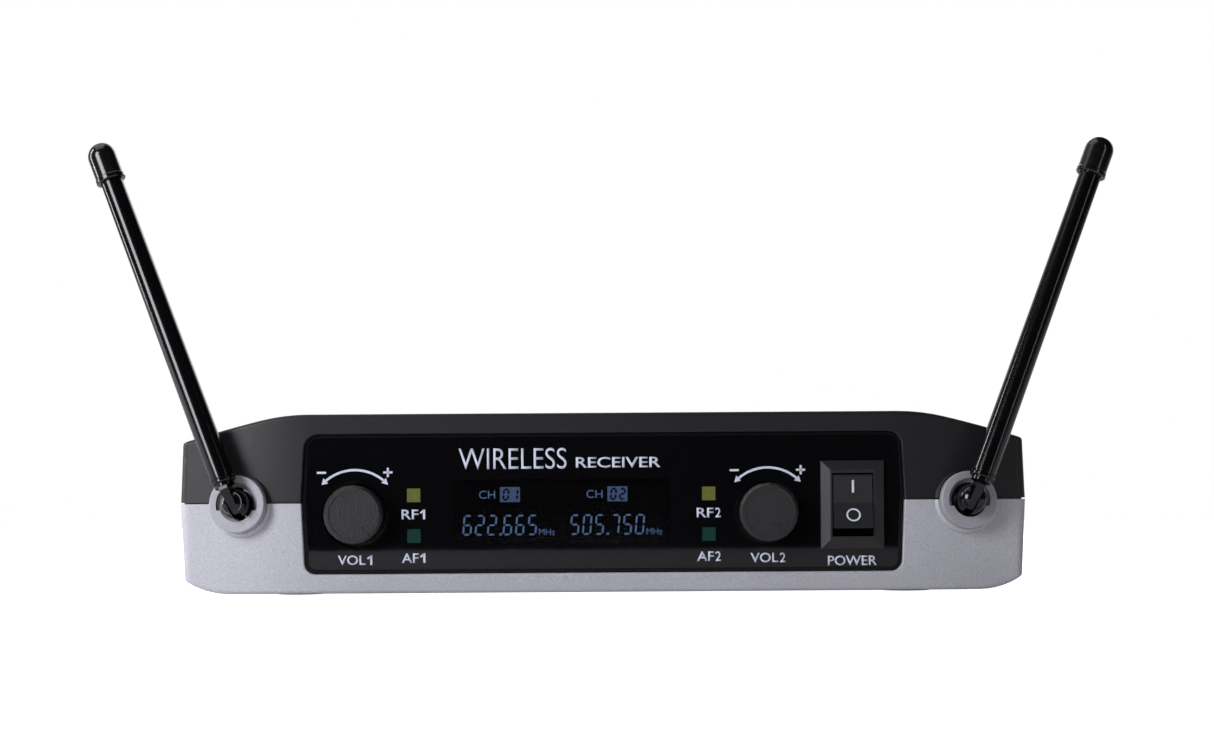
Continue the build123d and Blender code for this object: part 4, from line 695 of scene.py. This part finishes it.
def copy_of(piece, matrix):
    """Copy of a piece with a mesh of its own, moved by a matrix."""
    twin = piece.copy()
    twin.data = piece.data.copy()
    bpy.context.scene.collection.objects.link(twin)
    twin.data.transform(matrix)
    return twin


class Figures:
    """Seven-segment figures of one size, made from copies of two bars."""

    def __init__(self, size, stroke, gap, y):
        self.width, self.height = size
        self.y = y
        self.flat = segment_bar(self.width - stroke / 2 - gap, stroke)
        self.tall = segment_bar((self.height - stroke - gap) / 2, stroke)

    def put(self, figure, left, base):
        """Copies of the bars that make a figure whose lower left corner is given."""
        width, height = self.width, self.height
        spots = {
            "a": (self.flat, width / 2, height, 0),
            "g": (self.flat, width / 2, height / 2, 0),
            "d": (self.flat, width / 2, 0.0, 0),
            "f": (self.tall, 0.0, height * 0.75, 90),
            "e": (self.tall, 0.0, height * 0.25, 90),
            "b": (self.tall, width, height * 0.75, 90),
            "c": (self.tall, width, height * 0.25, 90),
        }
        slant = Matrix.Identity(4)
        slant[0][1] = DIGIT_SLANT
        made = []
        for name in SEGMENTS[figure]:
            segment, x, z, angle = spots[name]
            turn = Matrix.Rotation(math.radians(angle), 4, "Z")
            place = facing(left, base, self.y) @ slant @ Matrix.Translation((x * MM, z * MM, 0))
            made.append(copy_of(segment, place @ turn))
        return made

    def clear(self):
        """Remove the two bars that were copied."""
        bpy.data.objects.remove(self.flat)
        bpy.data.objects.remove(self.tall)


def make_display():
    """Lit figures and words on the display glass, behind the window."""
    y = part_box("lcd_panel")[0].y
    big = Figures(
        (DIGIT_SIZE[0] - DIGIT_STROKE, DIGIT_SIZE[1] - DIGIT_STROKE),
        DIGIT_STROKE,
        SEGMENT_GAP,
        y,
    )
    small = Figures(
        (TAG_DIGIT_SIZE[0] - TAG_DIGIT_STROKE, TAG_DIGIT_SIZE[1] - TAG_DIGIT_STROKE),
        TAG_DIGIT_STROKE,
        TAG_SEGMENT_GAP,
        y - INK * MM,
    )
    lit_pieces = []
    dark_pieces = []
    tags = []
    for left, reading, channel in READOUTS:
        x = left + DIGIT_STROKE / 2
        for figure in reading:
            if figure == ".":
                point_x = x - POINT_BACK + POINT_PITCH / 2
                lit_pieces.append(bar(point_x, POINT_Z, POINT_SIZE, POINT_SIZE, y))
                x += POINT_PITCH
            else:
                lit_pieces += big.put(figure, x, READOUT_BASE + DIGIT_STROKE / 2)
                x += DIGIT_PITCH
        unit_left = left + UNIT_LEFT
        lit_pieces.append(lettering("MHz", unit_left, UNIT_BASE, *UNIT_SIZE, y, weight=THIN_WEIGHT))
        word_left = left + CHANNEL_WORD_LEFT
        lit_pieces.append(
            lettering("CH", word_left, CHANNEL_WORD_BASE, *CHANNEL_WORD_SIZE, y, weight=0.0)
        )
        tag_left = left + TAG_LEFT
        tags.append(bar(tag_left + TAG_SIZE[0] / 2, TAG_Z, *TAG_SIZE, y))
        for index, figure in enumerate(channel):
            figure_left = tag_left + TAG_DIGIT_LEFT + TAG_DIGIT_PITCH * index
            dark_pieces += small.put(figure, figure_left, TAG_DIGIT_BASE + TAG_DIGIT_STROKE / 2)
    big.clear()
    small.clear()
    finish_piece(joined(lit_pieces), "display_figures", SEGMENT_LIGHT, "chassis")
    finish_piece(joined(tags), "display_tags", TAG_LIGHT, "chassis")
    finish_piece(joined(dark_pieces), "display_tag_figures", TAG_DARK, "chassis")


# ---- switch marks ----
SWITCH_LINE_HEIGHT = 4.35       # above the pivot
SWITCH_LINE = (0.55, 2.95)
SWITCH_RING_HEIGHT = -2.4
SWITCH_RING_RADIUS = 1.5
SWITCH_RING_STROKE = 0.4
FRONT_FACING = -0.8             # the rocker's front faces lean less than this from -Y
FRONT_AREA = 1e-6               # and are larger than this, in square metres


def rocker_face(height):
    """Point on the rocker's front face at a height above its pivot, and the face's lean."""
    tilt = next(joint for joint in frame["joints"] if joint["name"] == "power_tilt")
    pivot = Vector(tilt["pos_m"])
    target_z = pivot.z + height * MM
    faces = [
        face
        for face in nodes["power_rocker"].data.polygons
        if face.normal.y < FRONT_FACING and face.area > FRONT_AREA
    ]
    face = min(faces, key=lambda candidate: abs(candidate.center.z - target_z))
    slope = face.normal.z / face.normal.y
    y = face.center.y - (target_z - face.center.z) * slope
    return Vector((pivot.x, y, target_z)), math.atan2(-face.normal.z, -face.normal.y)


def make_switch_marks():
    """White line and ring on the rocker, which tilt with it."""
    point, lean = rocker_face(SWITCH_LINE_HEIGHT)
    line = bar(0, 0, *SWITCH_LINE, 0.0)
    line.data.transform(Matrix.Translation(point) @ Matrix.Rotation(lean, 4, "X"))
    finish_piece(line, "switch_on_mark", SWITCH_INK, "rocker")
    point, lean = rocker_face(SWITCH_RING_HEIGHT)
    start()
    bpy.ops.mesh.primitive_torus_add(
        major_radius=SWITCH_RING_RADIUS * MM,
        minor_radius=SWITCH_RING_STROKE * MM / 2,
        major_segments=48,
        minor_segments=10,
        location=point,
        rotation=(math.pi / 2 + lean, 0, 0),
    )
    bpy.context.object.scale = (1.0, 1.0, 2 * INK / SWITCH_RING_STROKE)
    finish_piece(settle(), "switch_off_mark", SWITCH_INK, "rocker")


make_panel_print()
make_rear_print()
make_display()
make_switch_marks()


# ---- table, light and camera ----
TABLE_SIZE = (3.2, 2.5)
TABLE_MIDDLE_Y = 0.6
TABLE_GAP = 0.0001
TABLE_LIGHT = 1.2
ROOM_DARK = 0.02                # light from the room in front
ROOM_BRIGHT = 0.9               # and from behind the object
ROOM_EDGE = (0.3, 0.95)         # how far back a direction points where one turns to the other
CAMERA_PLACE = (0.00095, -0.666, 0.022)
CAMERA_ROLL = 0.38
CAMERA_LENS = 74.7
CAMERA_SHIFT = 0.1133


def make_table():
    """Plain pale table top that stays white to the eye and lights nothing itself."""
    start()
    bpy.ops.mesh.primitive_plane_add(size=1.0, location=(0, TABLE_MIDDLE_Y, FEET_Z - TABLE_GAP))
    bpy.context.object.scale = (*TABLE_SIZE, 1.0)
    table = settle()
    table.name = "table"
    finish = Finish("table_top", Roughness=0.7, Specular_IOR_Level=0.1)
    cloud = finish.noise(140.0)
    seen = finish.node("ShaderNodeLightPath", out="Is Camera Ray")
    finish.set(
        Base_Color=finish.blend(cloud, (0.90, 0.87, 0.92), (0.94, 0.91, 0.96)),
        Emission_Color=(1.0, 1.0, 1.0),
        Emission_Strength=TABLE_LIGHT * seen,
    )
    table.data.materials.append(finish.material)


def make_world():
    """White room behind the object and a dark one behind the camera."""
    world = bpy.data.worlds.new("room")
    bpy.context.scene.world = world
    world.use_nodes = True
    tree = world.node_tree
    tree.nodes.clear()
    output = tree.nodes.new("ShaderNodeOutputWorld")
    background = tree.nodes.new("ShaderNodeBackground")
    tree.links.new(background.outputs[0], output.inputs["Surface"])
    direction = tree.nodes.new("ShaderNodeTexCoord")
    parts = tree.nodes.new("ShaderNodeSeparateXYZ")
    tree.links.new(direction.outputs["Generated"], parts.inputs[0])
    depth = tree.nodes.new("ShaderNodeMapRange")
    depth.interpolation_type = "SMOOTHSTEP"
    depth.inputs["From Min"].default_value = ROOM_EDGE[0]
    depth.inputs["From Max"].default_value = ROOM_EDGE[1]
    depth.inputs["To Min"].default_value = ROOM_DARK
    depth.inputs["To Max"].default_value = ROOM_BRIGHT
    tree.links.new(parts.outputs["Y"], depth.inputs["Value"])
    sight = tree.nodes.new("ShaderNodeLightPath")
    shown = tree.nodes.new("ShaderNodeMix")
    shown.data_type = "FLOAT"
    tree.links.new(sight.outputs["Is Camera Ray"], shown.inputs[0])
    tree.links.new(depth.outputs[0], shown.inputs[2])
    shown.inputs[3].default_value = 1.0
    tree.links.new(shown.outputs[0], background.inputs["Strength"])
    background.inputs["Color"].default_value = (1.0, 1.0, 1.0, 1.0)


def soft_light(name, place, target, size, power, colour=(1.0, 1.0, 1.0)):
    """Rectangular soft box aimed at a point."""
    data = bpy.data.lights.new(name, "AREA")
    data.shape = "RECTANGLE"
    data.size, data.size_y = size
    data.energy = power
    data.color = colour
    lamp = bpy.data.objects.new(name, data)
    bpy.context.scene.collection.objects.link(lamp)
    lamp.location = place
    lamp.rotation_euler = (Vector(target) - Vector(place)).to_track_quat("-Z", "Y").to_euler()


def make_camera():
    """Level camera at the height of the seam between the covers."""
    data = bpy.data.cameras.new("camera")
    data.sensor_width = 36.0
    data.lens = CAMERA_LENS
    data.shift_y = CAMERA_SHIFT
    camera = bpy.data.objects.new("camera", data)
    bpy.context.scene.collection.objects.link(camera)
    camera.location = CAMERA_PLACE
    camera.rotation_euler = (math.pi / 2, math.radians(CAMERA_ROLL), 0)
    bpy.context.scene.camera = camera


make_table()
make_world()
soft_light("key_box", (-0.56, -0.66, 0.32), (0, -0.06, 0.03), (0.30, 0.45), 5.9, (0.96, 0.965, 1.0))
soft_light("right_strip", (0.70, -0.65, 0.30), (0, -0.06, 0.05), (0.06, 0.7), 0.5)
soft_light("left_strip", (-0.80, 0.02, 0.28), (0.05, -0.06, 0.06), (0.10, 0.7), 3.5)
soft_light("top_box", (-0.35, 0.0, 0.9), (0, 0, 0), (0.8, 0.7), 2.6)
soft_light("rear_box", (0.3, 0.9, 0.6), (0, 0.07, 0.02), (0.7, 0.5), 3.0)
make_camera()
bpy.context.scene.view_settings.view_transform = "Standard"
